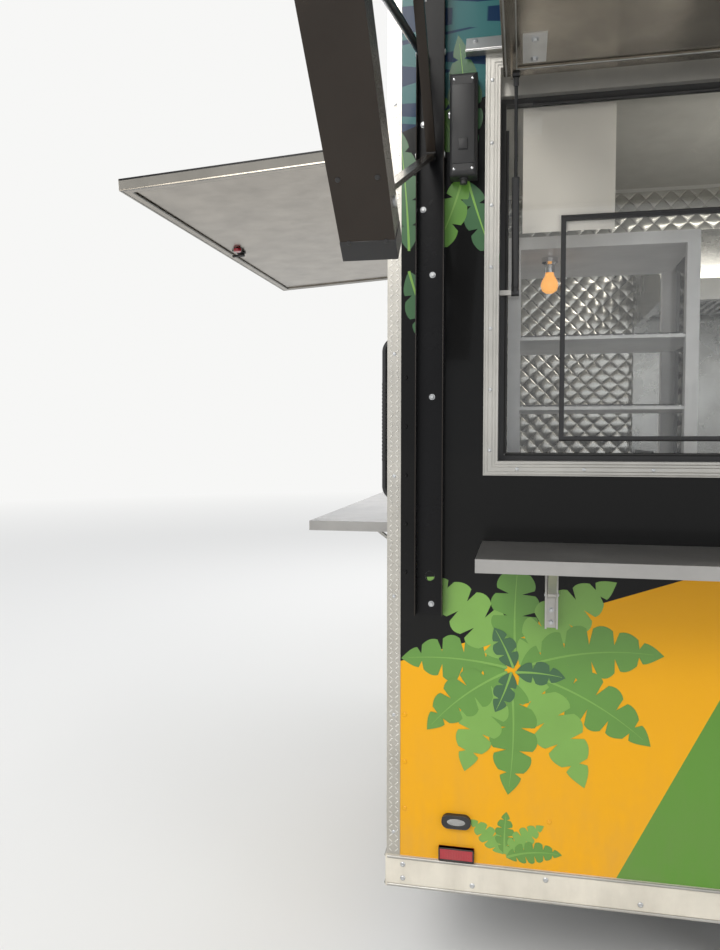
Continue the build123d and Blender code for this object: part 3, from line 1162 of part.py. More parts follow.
def kitchen():
    """Serving counter, heated display cabinet and the cooking line with its hood."""
    inner = HALF - WALL
    back = -inner + JAMB_INSIDE + 4
    front = back + COUNTER_DEPTH
    low_x = WALL + 4 + JAMB_INSIDE
    high_x = low_x + COUNTER_LENGTH
    top = block(low_x, high_x, back, front, COUNTER_TOP_Z - COUNTER_SHEET, COUNTER_TOP_Z)
    top = top + block(low_x, high_x, back, front, COUNTER_SHELF_Z, COUNTER_SHELF_Z + COUNTER_SHELF_HEIGHT)
    legs_x = (low_x, (low_x + high_x - COUNTER_LEG) / 2, high_x - COUNTER_LEG)
    for x in legs_x:
        top = top + block(x, x + COUNTER_LEG, front - COUNTER_LEG, front, FLOOR_TOP_Z, COUNTER_TOP_Z)
        top = top + block(x, x + COUNTER_LEG, back, back + COUNTER_LEG, ARCH_TOP_Z + 60, COUNTER_TOP_Z)
    keep("counter", top)
    low_y = back + CABINET_BACK_OFF
    shell = block(CABINET_LEFT, CABINET_LEFT + CABINET_WIDTH, low_y, low_y + CABINET_DEPTH,
                  COUNTER_TOP_Z, COUNTER_TOP_Z + CABINET_HEIGHT)
    post = CABINET_POST
    base = CABINET_BASE
    inside = block(CABINET_LEFT + post, CABINET_LEFT + CABINET_WIDTH - post, low_y - 1, low_y + CABINET_DEPTH + 1,
                   COUNTER_TOP_Z + base, COUNTER_TOP_Z + CABINET_HEIGHT - post)
    across = block(CABINET_LEFT - 1, CABINET_LEFT + CABINET_WIDTH + 1, low_y + post, low_y + CABINET_DEPTH - post,
                   COUNTER_TOP_Z + base, COUNTER_TOP_Z + CABINET_HEIGHT - post)
    cabinet = shell - inside - across
    for height in CABINET_SHELVES:
        z = COUNTER_TOP_Z + height
        cabinet = cabinet + block(CABINET_LEFT + 6, CABINET_LEFT + CABINET_WIDTH - 6, low_y + 6,
                                  low_y + CABINET_DEPTH - 6, z, z + 8)
    keep("display_cabinet", cabinet)
    wall_y = inner - LINING
    low_x = COOKING_X
    high_x = COOKING_X + COOKING_LENGTH
    body = block(low_x, high_x, wall_y - COOKING_DEPTH, wall_y - 60, COOKING_BLOCK_LOW_Z, COOKING_TOP_Z)
    body = body + block(low_x, high_x, wall_y - 60, wall_y, ARCH_TOP_Z + 60, HOOD_LOW_Z)
    for x in (low_x + 40, (low_x + high_x) / 2, high_x - 80):
        body = body + block(x, x + 40, wall_y - COOKING_DEPTH + 20, wall_y - COOKING_DEPTH + 60, FLOOR_TOP_Z,
                            COOKING_BLOCK_LOW_Z)
    profile = Polyline((wall_y, HOOD_LOW_Z), (wall_y, HOOD_LOW_Z + HOOD_HEIGHT),
                       (wall_y - HOOD_DEPTH * 0.6, HOOD_LOW_Z + HOOD_HEIGHT), (wall_y - HOOD_DEPTH, HOOD_LOW_Z + 90),
                       (wall_y - HOOD_DEPTH, HOOD_LOW_Z), (wall_y, HOOD_LOW_Z))
    hood = Pos(low_x, 0, 0) * extrude(Plane.YZ * make_face(profile), COOKING_LENGTH, dir=(1, 0, 0))
    hood = hood - block(low_x + 30, high_x - 30, wall_y - HOOD_DEPTH + 30, wall_y - 60, HOOD_LOW_Z - 1, HOOD_LOW_Z + 60)
    keep("cooking_line", body + hood)


def build():
    """Makes every node of the trailer."""
    chassis()
    tongue()
    coupler()
    jacks()
    gas_bottles()
    running_gear()
    fender_flares()
    floor()
    walls()
    roof()
    trims()
    frames = service_bays()
    frames.extend(entry_door())
    keep("opening_frames", *frames)
    awning()
    fittings()
    kitchen()


def whole_box():
    """Lowest and highest corners of everything built."""
    boxes = [solid.bounding_box() for solids in parts.values() for solid in solids]
    low = [min(getattr(box.min, axis) for box in boxes) for axis in "XYZ"]
    high = [max(getattr(box.max, axis) for box in boxes) for axis in "XYZ"]
    return low, high


def shift_to_origin():
    """Translation that puts the origin at the bottom centre of the whole trailer."""
    low, high = whole_box()
    return -(low[0] + high[0]) / 2, -(low[1] + high[1]) / 2, -low[2]


build()
SHIFT = shift_to_origin()
os.makedirs("parts", exist_ok=True)
for name, solids in parts.items():
    moved = [Pos(*SHIFT) * solid for solid in solids]
    shape = moved[0] if len(moved) == 1 else Compound(children=moved)
    export_step(shape, f"parts/{name}.step")
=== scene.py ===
"""Looks of the towed food trailer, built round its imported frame. Metres, +X tongue, -Y kerb side, +Z up."""

import math

import bmesh
import bpy
from mathutils import Matrix, Vector


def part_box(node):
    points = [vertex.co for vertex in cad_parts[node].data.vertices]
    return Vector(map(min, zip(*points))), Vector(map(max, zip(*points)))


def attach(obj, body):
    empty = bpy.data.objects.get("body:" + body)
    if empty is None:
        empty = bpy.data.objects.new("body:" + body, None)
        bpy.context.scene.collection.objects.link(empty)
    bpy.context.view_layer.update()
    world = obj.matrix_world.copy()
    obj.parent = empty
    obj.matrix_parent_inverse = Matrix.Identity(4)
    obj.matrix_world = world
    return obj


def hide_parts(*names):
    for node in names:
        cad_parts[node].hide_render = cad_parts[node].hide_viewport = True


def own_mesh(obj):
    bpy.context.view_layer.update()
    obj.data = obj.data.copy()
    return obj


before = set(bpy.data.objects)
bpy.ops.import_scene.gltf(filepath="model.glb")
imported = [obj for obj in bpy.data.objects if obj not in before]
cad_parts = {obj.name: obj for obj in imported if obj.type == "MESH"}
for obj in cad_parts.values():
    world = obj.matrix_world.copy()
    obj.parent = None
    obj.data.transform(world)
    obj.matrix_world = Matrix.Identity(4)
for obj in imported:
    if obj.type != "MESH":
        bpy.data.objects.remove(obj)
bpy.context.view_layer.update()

# Places that every section uses. The walls come from the frame, and the window sizes are those of the part's
# source.
UP = Vector((0, 0, 1))
REAR_X, KERB_Y, RAIL_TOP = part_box("wall_kerb")[0]
FRONT_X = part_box("wall_kerb")[1][0]
STREET_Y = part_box("wall_street")[1][1]
LENGTH = FRONT_X - REAR_X
WIDTH = STREET_Y - KERB_Y
MID_Y = (KERB_Y + STREET_Y) / 2
SILL_Z = 1.438
HEADER_Z = 2.330
HEAD_Z = 2.383
HINGE_OUT = 0.010
HINGE_Z = HEAD_Z + 0.008
SIDE_MID = 1.184
SIDE_HALF = 0.915
REAR_HALF = 0.898


class Wall:
    """An outer wall. Called with a distance along it, outward and up, gives the point."""

    def __init__(self, x, y, level, normal, length=0.0):
        self.x = x
        self.y = y
        self.level = Vector(level)
        self.normal = Vector(normal)
        self.length = length

    def __call__(self, along, out, z):
        return Vector((self.x, self.y, z)) + self.level * along + self.normal * out

    def moved(self, along):
        """The same wall measured from a place further along."""
        start = self(along, 0.0, 0.0)
        return Wall(start.x, start.y, self.level, self.normal)


kerb = Wall(REAR_X, KERB_Y, (1, 0, 0), (0, -1, 0), LENGTH)
street = Wall(REAR_X, STREET_Y, (1, 0, 0), (0, 1, 0), LENGTH)
rear = Wall(REAR_X, KERB_Y, (0, 1, 0), (-1, 0, 0), WIDTH)
front = Wall(FRONT_X, KERB_Y, (0, 1, 0), (1, 0, 0), WIDTH)
SIDES = (kerb, street)
WALLS = (kerb, street, rear, front)
BAYS = (("side", kerb.moved(SIDE_MID), SIDE_HALF, 90.0), ("rear", rear.moved(WIDTH / 2), REAR_HALF, 86.4))


# Shader building

def add(tree, kind, inputs=None, **settings):
    """Adds a shader node, sets its properties, and links or sets its inputs."""
    made = tree.nodes.new("ShaderNode" + kind)
    for key, value in settings.items():
        setattr(made, key, value)
    for key, value in (inputs or {}).items():
        if isinstance(value, bpy.types.NodeSocket):
            tree.links.new(value, made.inputs[key])
        else:
            made.inputs[key].default_value = value
    return made


def calc(tree, operation, *values):
    """The result of one math node."""
    return add(tree, "Math", dict(enumerate(values)), operation=operation).outputs[0]


def blend(tree, factor, low, high):
    """The result of one colour mix node."""
    return add(tree, "Mix", {0: factor, 6: low, 7: high}, data_type="RGBA").outputs[2]


def ramp(tree, value, low, high):
    """A value stretched so that low becomes 0 and high becomes 1, clamped."""
    return add(tree, "MapRange", {0: value, 1: low, 2: high, 3: 0.0, 4: 1.0}).outputs[0]


def noise(tree, vector, scale, detail=3.0, rough=0.55):
    """A noise between 0 and 1."""
    inputs = {"Vector": vector, "Scale": scale, "Detail": detail, "Roughness": rough}
    return add(tree, "TexNoise", inputs).outputs["Fac"]


def place_in(tree):
    """The place on the object."""
    return add(tree, "TexCoord").outputs["Object"]


def group(name, inputs, outputs):
    """A new node group with its input and output nodes; inputs are (name, default), outputs (name, type)."""
    tree = bpy.data.node_groups.new(name, "ShaderNodeTree")
    for label, default in inputs:
        tree.interface.new_socket(label, in_out="INPUT",
                                  socket_type="NodeSocketFloat").default_value = default
    for label, kind in outputs:
        tree.interface.new_socket(label, in_out="OUTPUT", socket_type="NodeSocket" + kind)
    return tree, tree.nodes.new("NodeGroupInput"), tree.nodes.new("NodeGroupOutput")


def soil_group():
    """Road film: a mask that is densest near the ground and breaks up into blotches and runs."""
    tree, given, result = group("Soil", (("Low", 0.3), ("High", 1.4)),
                                (("Mask", "Float"), ("Patch", "Float")))
    place = place_in(tree)
    split = add(tree, "SeparateXYZ", {0: place})
    height = ramp(tree, split.outputs["Z"], given.outputs["High"], given.outputs["Low"])
    stretch = add(tree, "Mapping", {"Vector": place, "Scale": (6.0, 6.0, 1.2)}).outputs[0]
    runs = ramp(tree, noise(tree, stretch, 3.0, 6.0, 0.62), 0.42, 0.78)
    blotch = ramp(tree, noise(tree, place, 5.0, 8.0, 0.65), 0.40, 0.75)
    both = calc(tree, "MULTIPLY", calc(tree, "ADD", runs, blotch), 0.5)
    tree.links.new(calc(tree, "MULTIPLY", both, calc(tree, "POWER", height, 1.6)), result.inputs["Mask"])
    tree.links.new(blotch, result.inputs["Patch"])
    return tree


RELIEF_INPUTS = (("Grain scale", 400.0), ("Grain", 0.1), ("Wave scale", 3.0), ("Wave", 0.1))


def relief_group():
    """Surface normals: fine grain and a slow waviness of thin sheet."""
    tree, given, result = group("Relief", RELIEF_INPUTS, (("Normal", "Vector"),))
    place = place_in(tree)
    grain = add(tree, "TexNoise", {"Vector": place, "Scale": given.outputs["Grain scale"], "Detail": 2.0})
    wave = add(tree, "TexNoise", {"Vector": place, "Scale": given.outputs["Wave scale"], "Detail": 1.0})
    slow = add(tree, "Bump", {"Height": wave.outputs["Fac"], "Distance": 0.02,
                              "Strength": given.outputs["Wave"]})
    fine = add(tree, "Bump", {"Height": grain.outputs["Fac"], "Distance": 0.0006,
                              "Strength": given.outputs["Grain"], "Normal": slow.outputs[0]})
    tree.links.new(fine.outputs[0], result.inputs["Normal"])
    return tree


SOIL = soil_group()
RELIEF = relief_group()
ROAD_FILM = (0.24, 0.20, 0.15, 1.0)
SOIL_ROUGHENS = 0.4


def begin(name, rough, metal=0.0, **sockets):
    """A new material: its tree and its Principled shader with the constant values set."""
    made = bpy.data.materials.new(name)
    made.use_nodes = True
    tree = made.node_tree
    shader = tree.nodes["Principled BSDF"]
    shader.inputs["Roughness"].default_value = rough
    shader.inputs["Metallic"].default_value = metal
    for label, value in sockets.items():
        shader.inputs[label.replace("_", " ")].default_value = value
    return made, tree, shader


def finish(made, tree, shader, colour, rough, vary, soil, reach, grain, wave):
    """Soils the colour, varies the roughness and adds the relief."""
    dirt = add(tree, "Group", node_tree=SOIL)
    dirt.inputs["Low"].default_value, dirt.inputs["High"].default_value = reach
    amount = calc(tree, "MULTIPLY", dirt.outputs["Mask"], soil)
    tree.links.new(blend(tree, amount, colour, ROAD_FILM), shader.inputs["Base Color"])
    uneven = calc(tree, "MULTIPLY_ADD", dirt.outputs["Patch"], vary, rough)
    soiled = calc(tree, "ADD", uneven, calc(tree, "MULTIPLY", amount, SOIL_ROUGHENS))
    tree.links.new(soiled, shader.inputs["Roughness"])
    bump = add(tree, "Group", node_tree=RELIEF)
    for (label, _), value in zip(RELIEF_INPUTS, grain + wave):
        bump.inputs[label].default_value = value
    tree.links.new(bump.outputs["Normal"], shader.inputs["Normal"])
    return made


def surface(name, colour, rough, metal, vary, soil, reach, grain, wave=(3.0, 0.0), tint=0.06, **sockets):
    """A painted, moulded or bare surface; colour is one number for a neutral grey.

    vary varies the roughness, reach is the height where the soil ends and starts, grain and wave are
    (scale, strength), and tint is how far the colour is mottled.
    """
    made, tree, shader = begin(name, rough, metal, **sockets)
    colour = (colour,) * 3 if isinstance(colour, float) else colour
    darker = tuple(part * (1.0 - 2.0 * tint) for part in colour) + (1.0,)
    paler = tuple(min(1.0, part * (1.0 + tint)) for part in colour) + (1.0,)
    shade = blend(tree, ramp(tree, noise(tree, place_in(tree), 9.0, 5.0), 0.3, 0.7), darker, paler)
    return finish(made, tree, shader, shade, rough, vary, soil, reach, grain, wave)


# Materials, from the extrusions and paints of the body to the cloth and the lenses
ALL = (0.3, 1.2)
HIGH = (0.9, 1.3)
# Aluminium extrusion: the metal's own tone, darkened below bright aluminium as painted shade for the shade
# under the awning.
SHADED_ALUMINIUM = surface("aluminium extrusion", (0.50, 0.488, 0.455), 0.34, 0.75, 0.14, 0.45, (0.35, 1.1),
                    (700.0, 0.18))
RAIL = surface("painted rail", (0.78, 0.73, 0.63), 0.38, 0.25, 0.12, 0.55, (0.30, 0.60), (500.0, 0.12))
TREAD = surface("tread plate", (0.52, 0.50, 0.455), 0.30, 0.80, 0.14, 0.5, (0.4, 1.4), (600.0, 0.2))
TREAD_WORN = surface("worn tread bars", (0.80, 0.78, 0.73), 0.24, 0.85, 0.10, 0.2, (0.4, 1.4), (600.0, 0.1))
STAINLESS = surface("brushed stainless", (0.62, 0.62, 0.61), 0.22, 1.0, 0.12, 0.1, ALL, (900.0, 0.25),
                    (2.0, 0.05))
ZINC = surface("zinc-plated steel", (0.58, 0.59, 0.60), 0.32, 0.9, 0.14, 0.35, (0.1, 1.0), (500.0, 0.2))
BRONZE = surface("dark bronze anodising", (0.034, 0.027, 0.022), 0.20, 0.30, 0.06, 0.1, (0.3, 1.4),
                 (900.0, 0.10), (1.2, 0.05), Specular_IOR_Level=0.3)
CHANNEL_BLACK = surface("black anodising", (0.008, 0.008, 0.009), 0.24, 0.0, 0.06, 0.1, (0.3, 1.4),
                        (900.0, 0.10), Specular_IOR_Level=0.15)
# Shelf steel: brushed steel darkened as painted shade, for trays lit only from behind.
SHADED_SHELF_STEEL = surface("brushed shelf steel in painted shade", (0.40, 0.39, 0.375), 0.30, 0.85, 0.12, 0.15, HIGH, (900.0, 0.15),
                      (1.6, 0.04))
# Hatch side extrusions: grey aluminium, darkened here as painted shade because their faces stand in shade.
SHADED_HATCH_SIDE = surface("hatch side extrusion in painted shade", (0.20, 0.19, 0.17), 0.50, 0.20, 0.10, 0.1, HIGH, (700.0, 0.15),
                     Specular_IOR_Level=0.3)
CHASSIS = surface("black chassis paint", (0.030, 0.030, 0.031), 0.42, 0.0, 0.14, 0.75, (0.2, 0.9),
                  (300.0, 0.3))
BLACK_PAINT = surface("black powder coat", (0.018, 0.018, 0.019), 0.30, 0.0, 0.08, 0.1, ALL, (900.0, 0.2))
BLACK_PLASTIC = surface("black moulding", (0.020, 0.020, 0.021), 0.45, 0.0, 0.10, 0.15, ALL, (900.0, 0.4))
RUBBER = surface("black rubber", 0.022, 0.62, 0.0, 0.12, 0.2, ALL, (600.0, 0.4))
WHITE_PAINT = surface("white enamel", (0.76, 0.76, 0.745), 0.30, 0.0, 0.06, 0.35, (0.40, 0.9), (400.0, 0.1),
                      (2.5, 0.02), 0.02)
ROOF_PAINT = surface("roof coating", (0.60, 0.60, 0.58), 0.48, 0.0, 0.10, 0.2, (2.0, 4.0), (300.0, 0.2),
                     (2.5, 0.03), 0.04)
WHEEL_PAINT = surface("white wheel paint", (0.78, 0.78, 0.76), 0.34, 0.0, 0.12, 0.8, (0.15, 0.75),
                      (400.0, 0.15))
BOTTLE_PAINT = surface("bottle enamel", (0.80, 0.81, 0.80), 0.30, 0.0, 0.10, 0.4, (0.35, 0.9), (300.0, 0.25))
NITRIDED = surface("black nitrided rod", (0.016, 0.016, 0.017), 0.20, 0.4, 0.05, 0.0, ALL, (900.0, 0.05))
CABINET = surface("pale cabinet enamel", (0.74, 0.74, 0.75), 0.28, 0.0, 0.08, 0.05, HIGH, (500.0, 0.1),
                  (1.5, 0.05))
HATCH_EDGE = surface("hatch edge extrusion", (0.36, 0.36, 0.35), 0.40, 0.70, 0.10, 0.1, HIGH, (700.0, 0.15))
SATIN = surface("satin aluminium sheet", (0.66, 0.66, 0.65), 0.36, 0.85, 0.12, 0.15, HIGH, (900.0, 0.15),
                (1.6, 0.04))
POLISHED = surface("polished aluminium", (0.80, 0.80, 0.79), 0.10, 1.0, 0.06, 0.0, ALL, (900.0, 0.03),
                   (3.0, 0.03))
CHROME = surface("ground rod", (0.72, 0.72, 0.73), 0.10, 1.0, 0.05, 0.0, ALL, (900.0, 0.05))
BRASS = surface("brass", (0.70, 0.52, 0.22), 0.28, 1.0, 0.15, 0.1, (0.3, 1.0), (600.0, 0.2))
FLOOR_METAL = surface("floor plate", (0.42, 0.42, 0.41), 0.40, 0.8, 0.15, 0.3, (0.3, 1.0), (200.0, 0.5))
SEALANT = surface("grey sealant", (0.42, 0.42, 0.40), 0.60, 0.0, 0.10, 0.2, ALL, (300.0, 0.4))
PAPER = surface("white card", (0.90, 0.86, 0.80), 0.65, 0.0, 0.05, 0.0, ALL, (500.0, 0.1), (6.0, 0.12), 0.02)
# Mill-finish sheet: bare aluminium's own tone, darkened and warmed as painted shade and a painted reflection
# of dark, warm ground.
SHADED_HATCH_SHEET = surface("mill-finish sheet with painted shade", (0.355, 0.322, 0.275), 0.20, 0.95, 0.05, 0.0, ALL, (300.0, 0.02),
                      (1.7, 0.14), 0.10)
AWNING_CLOTH = surface("coated cloth", (0.030, 0.030, 0.034), 0.55, 0.0, 0.10, 0.0, ALL, (1500.0, 0.5))
RED_LENS = surface("red lens", (0.42, 0.015, 0.03), 0.16, 0.0, 0.04, 0.25, (0.3, 0.8), (300.0, 0.05),
                   Coat_Weight=0.6)
CLEAR_LENS = surface("clear lens", (0.34, 0.34, 0.33), 0.12, 0.3, 0.05, 0.2, (0.3, 0.8), (300.0, 0.05),
                     Coat_Weight=0.8)
AMBER = surface("amber bulb", (0.90, 0.42, 0.10), 0.25, 0.0, 0.04, 0.0, (0.3, 0.8), (300.0, 0.05),
                Emission_Color=(1.0, 0.45, 0.10, 1.0), Emission_Strength=0.8)


def glass_material():
    """Clear toughened glass: mostly see-through, with a sharp reflection that grows at a slant."""
    made, tree, shader = begin("clear glass", 0.02)
    clear = add(tree, "BsdfTransparent", {"Color": (0.985, 0.987, 0.98, 1.0)})
    shine = add(tree, "BsdfGlossy", {"Color": (1.0, 1.0, 1.0, 1.0), "Roughness": 0.02})
    film = calc(tree, "MULTIPLY", ramp(tree, noise(tree, place_in(tree), 4.0, 6.0), 0.45, 0.8), 0.03)
    amount = calc(tree, "ADD", add(tree, "Fresnel", {"IOR": 1.5}).outputs[0], film)
    mixed = add(tree, "MixShader", {0: amount, 1: clear.outputs[0], 2: shine.outputs[0]})
    tree.links.new(mixed.outputs[0], tree.nodes["Material Output"].inputs["Surface"])
    tree.nodes.remove(shader)
    return made


QUILT = 0.085


def quilted_material():
    """Polished sheet pressed into small diamonds, each a shallow pillow between sharp creases."""
    made, tree, shader = begin("quilted stainless", 0.16, 1.0)
    split = add(tree, "SeparateXYZ", {0: place_in(tree)}).outputs
    across, up = (calc(tree, "MULTIPLY", split[axis], 1.0 / QUILT) for axis in "XZ")
    rises = []
    for operation in ("ADD", "SUBTRACT"):
        fold = calc(tree, "PINGPONG", calc(tree, operation, across, up), 1.0)
        rises.append(calc(tree, "SINE", calc(tree, "MULTIPLY", fold, math.pi)))
    pillow = calc(tree, "POWER", calc(tree, "MULTIPLY", *rises), 0.5)
    bump = add(tree, "Bump", {"Height": pillow, "Distance": 0.005, "Strength": 0.8})
    tree.links.new(bump.outputs[0], shader.inputs["Normal"])
    stain = noise(tree, place_in(tree), 2.5, 6.0)
    tree.links.new(blend(tree, stain, (0.60, 0.60, 0.58, 1.0), (0.74, 0.73, 0.70, 1.0)),
                   shader.inputs["Base Color"])
    tree.links.new(calc(tree, "MULTIPLY_ADD", stain, 0.14, 0.12), shader.inputs["Roughness"])
    return made


GLASS = glass_material()
QUILTED = quilted_material()

# Printed vinyl on the walls: black above a rising line, and golden yellow, green and teal bands under it. A
# second line near the top of the rear corner parts the black from teal with navy blades.
BLACK_INK = (0.006, 0.006, 0.006, 1.0)
YELLOW_INK = (0.78, 0.375, 0.010, 1.0)
GREEN_INK = (0.115, 0.27, 0.045, 1.0)
TEAL_INK = (0.045, 0.145, 0.150, 1.0)
NAVY_INK = (0.010, 0.030, 0.075, 1.0)
PANEL_WHITE = (0.72, 0.72, 0.70, 1.0)
RISE = 0.344
LEAN = 0.497
BLACK_FROM = (0.0, 0.920)
BLADES_FROM = (-0.4, 2.10)
BANDS = ((0.560, GREEN_INK), (1.750, TEAL_INK), (2.150, YELLOW_INK), (4.350, GREEN_INK))


def livery_group():
    """Colour fields from the distance along the body and the height."""
    tree, given, result = group("Livery", (("Along", 0.0), ("Height", 0.0)), (("Color", "Color"),))
    along, height = given.outputs["Along"], given.outputs["Height"]

    def above(start):
        """1 on the upper side of a line that rises from a point."""
        level = calc(tree, "MULTIPLY_ADD", calc(tree, "SUBTRACT", along, start[0]), RISE, start[1])
        return calc(tree, "GREATER_THAN", height, level)

    lower = YELLOW_INK
    for start, ink in BANDS:
        level = calc(tree, "MULTIPLY_ADD", calc(tree, "SUBTRACT", height, 0.416), LEAN, start)
        lower = blend(tree, calc(tree, "GREATER_THAN", along, level), lower, ink)
    upper = blend(tree, above(BLADES_FROM), BLACK_INK, TEAL_INK)
    spot = add(tree, "CombineXYZ", {0: along, 1: height})
    tilted = add(tree, "Mapping", {"Vector": spot.outputs[0], "Rotation": (0.0, 0.0, math.radians(-62.0)),
                                   "Scale": (1.0, 7.0, 1.0)})
    blades = add(tree, "TexVoronoi", {"Vector": tilted.outputs[0], "Scale": 2.2, "Randomness": 0.8},
                 feature="DISTANCE_TO_EDGE")
    blade = ramp(tree, blades.outputs["Distance"], 0.085, 0.095)
    upper = blend(tree, calc(tree, "MULTIPLY", blade, above(BLADES_FROM)), upper, NAVY_INK)
    tree.links.new(blend(tree, above(BLACK_FROM), lower, upper), result.inputs["Color"])
    return tree


LIVERY = livery_group()
SKIN_DEPTH = 0.02


def wrap(name, axis, sign, zero, deep_axis, deep_zero, inward=None, start=0.0):
    """Gloss print on a wall, white from SKIN_DEPTH inward; without inward, on an open hatch as when shut."""
    made, tree, shader = begin("wrap " + name, 0.16, 0.0, Coat_Weight=0.1, Coat_Roughness=0.04,
                               Specular_IOR_Level=0.14)
    split = add(tree, "SeparateXYZ", {0: place_in(tree)}).outputs
    along = calc(tree, "MULTIPLY_ADD", calc(tree, "SUBTRACT", split[axis], zero), sign, start)
    depth = calc(tree, "SUBTRACT", split[deep_axis], deep_zero)
    height = split["Z"] if inward else calc(tree, "ADD", depth, HINGE_Z)
    shade = add(tree, "Group", {"Along": along, "Height": height}, node_tree=LIVERY).outputs["Color"]
    if inward:
        inside = calc(tree, "GREATER_THAN", calc(tree, "MULTIPLY", depth, inward), SKIN_DEPTH)
        shade = blend(tree, inside, shade, PANEL_WHITE)
    soil, wave = (0.35, 0.12) if inward else (0.0, 0.08)
    return finish(made, tree, shader, shade, 0.15, 0.05, soil, (0.40, 0.95), (250.0, 0.05), (1.6, wave))


WRAP_KERB = wrap("kerb", "X", 1.0, REAR_X, "Y", KERB_Y, 1.0)
WRAP_STREET = wrap("street", "X", 1.0, REAR_X, "Y", STREET_Y, -1.0)
WRAP_REAR = wrap("rear", "Y", -1.0, KERB_Y, "X", REAR_X, 1.0)
WRAP_FRONT = wrap("front", "Y", 1.0, KERB_Y, "X", FRONT_X, -1.0, LENGTH)
WRAP_HATCH = {
    "side": wrap("side hatch", "X", 1.0, REAR_X, "Y", KERB_Y - HINGE_OUT),
    "rear": wrap("rear hatch", "Y", -1.0, KERB_Y, "X", REAR_X - HINGE_OUT),
}

# The CAD nodes' own materials
WHEELS = [f"{side}_{row}" for side in ("kerb", "street") for row in ("rear", "front")]
for material, nodes in (
        (CHASSIS, "main_rails cross_members tongue_frame torsion_axles coupler stabilisers"),
        (ZINC, "tongue_jack"),
        (BOTTLE_PAINT, "gas_bottles"),
        (RUBBER, " ".join(f"tyre_{name}" for name in WHEELS)),
        (WHEEL_PAINT, " ".join(f"wheel_{name}" for name in WHEELS)),
        (TREAD, "corner_trims fender_flares"),
        (RAIL, "bottom_rails roof_trim"),
        # The frames, uprights, braces and vent take this aluminium, darkened with painted shade.
        (SHADED_ALUMINIUM, "opening_frames shelf_uprights side_shelf_braces rear_shelf_braces roof_vent"),
        (CABINET, "display_cabinet"),
        (FLOOR_METAL, "floor"),
        (WRAP_KERB, "wall_kerb"),
        (WRAP_STREET, "wall_street"),
        (WRAP_REAR, "wall_rear"),
        (WRAP_FRONT, "wall_front"),
        (ROOF_PAINT, "roof"),
        (WHITE_PAINT, "entry_door"),
        (STAINLESS, "counter cooking_line"),
        # The shelves take the steel darkened with painted shade.
        (SHADED_SHELF_STEEL, "side_shelf rear_shelf"),
        (BLACK_PLASTIC, "control_box oval_lamps"),
        (BLACK_PAINT, "window_sashes grab_bar side_strut_barrels rear_strut_barrels awning_strut_barrels"),
        (GLASS, "window_glass"),
        (QUILTED, "wall_lining"),
        # The hatches' sheet carries painted shade and a painted reflection in its colour.
        (SHADED_HATCH_SHEET, "side_hatch rear_hatch"),
        (CHANNEL_BLACK, "awning_channels"),
        (BRONZE, "awning_links awning_arms awning_bars awning_upper_links awning_roller"),
        (NITRIDED, "side_strut_rods rear_strut_rods"),
        (CHROME, "awning_strut_rods"),
        (AWNING_CLOTH, "awning_fabric"),
        (RED_LENS, "red_lamps"),
):
    for node in nodes.split():
        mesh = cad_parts[node].data
        mesh.materials.clear()
        mesh.materials.append(material)


# Mesh building

def fresh(count):
    """New empty meshes."""
    return [bmesh.new() for _ in range(count)]


def put(name, mesh, material, smooth=None, body="trailer", facing=None):
    """Makes an object of a bmesh on a body; smooth is the angle that stays sharp, facing turns a sheet."""
    bmesh.ops.recalc_face_normals(mesh, faces=mesh.faces)
    if facing is not None:
        away = [face for face in mesh.faces if face.normal.dot(facing) < 0]
        bmesh.ops.reverse_faces(mesh, faces=away)
    data = bpy.data.meshes.new(name)
    mesh.to_mesh(data)
    mesh.free()
    data.materials.append(material)
    made = bpy.data.objects.new(name, data)
    bpy.context.scene.collection.objects.link(made)
    if smooth is not None:
        for face in data.polygons:
            face.use_smooth = True
        data.set_sharp_from_angle(angle=math.radians(smooth))
    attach(made, body)
    return made


def spread(low, high, count):
    """Evenly spaced numbers from low to high."""
    return [low + k * (high - low) / (count - 1) for k in range(count)]


def brick(mesh, low, high, round_=0.0, segments=2, place=None):
    """A box between two corners, its edges rounded, turned by a matrix when one is given."""
    low, high = Vector(low), Vector(high)
    size = high - low
    scale = Matrix.Diagonal((abs(size.x), abs(size.y), abs(size.z), 1.0))
    shape = Matrix.Translation((low + high) / 2) @ scale
    made = bmesh.ops.create_cube(mesh, size=1.0, matrix=place @ shape if place else shape)
    if round_:
        edges = list({edge for vert in made["verts"] for edge in vert.link_edges})
        bmesh.ops.bevel(mesh, geom=edges, offset=round_, segments=segments, profile=0.5, affect="EDGES",
                        material=-1)


def aim(start, direction):
    """A matrix that stands the z axis along a direction at a point."""
    return Matrix.Translation(start) @ UP.rotation_difference(Vector(direction)).to_matrix().to_4x4()


def lathe(mesh, start, direction, profile, steps=16):
    """A turned shape: profile is (radius, height) pairs along a direction from a point."""
    place = aim(start, direction)
    verts = [mesh.verts.new(place @ Vector((radius, 0.0, height))) for radius, height in profile]
    edges = [mesh.edges.new(pair) for pair in zip(verts, verts[1:])]
    axis = (place.to_3x3() @ UP).normalized()
    bmesh.ops.spin(mesh, geom=verts + edges, cent=place.translation, axis=axis, angle=math.tau, steps=steps,
                   use_merge=True)
    bmesh.ops.remove_doubles(mesh, verts=mesh.verts, dist=1e-6)


def knob(mesh, start, direction, profile, steps=16):
    """A turned solid: the profile is closed to the axis at both ends."""
    closed = [(0.0, profile[0][1]), *profile]
    if profile[-1][0] > 0.0:
        closed.append((0.0, profile[-1][1]))
    lathe(mesh, start, direction, closed, steps)


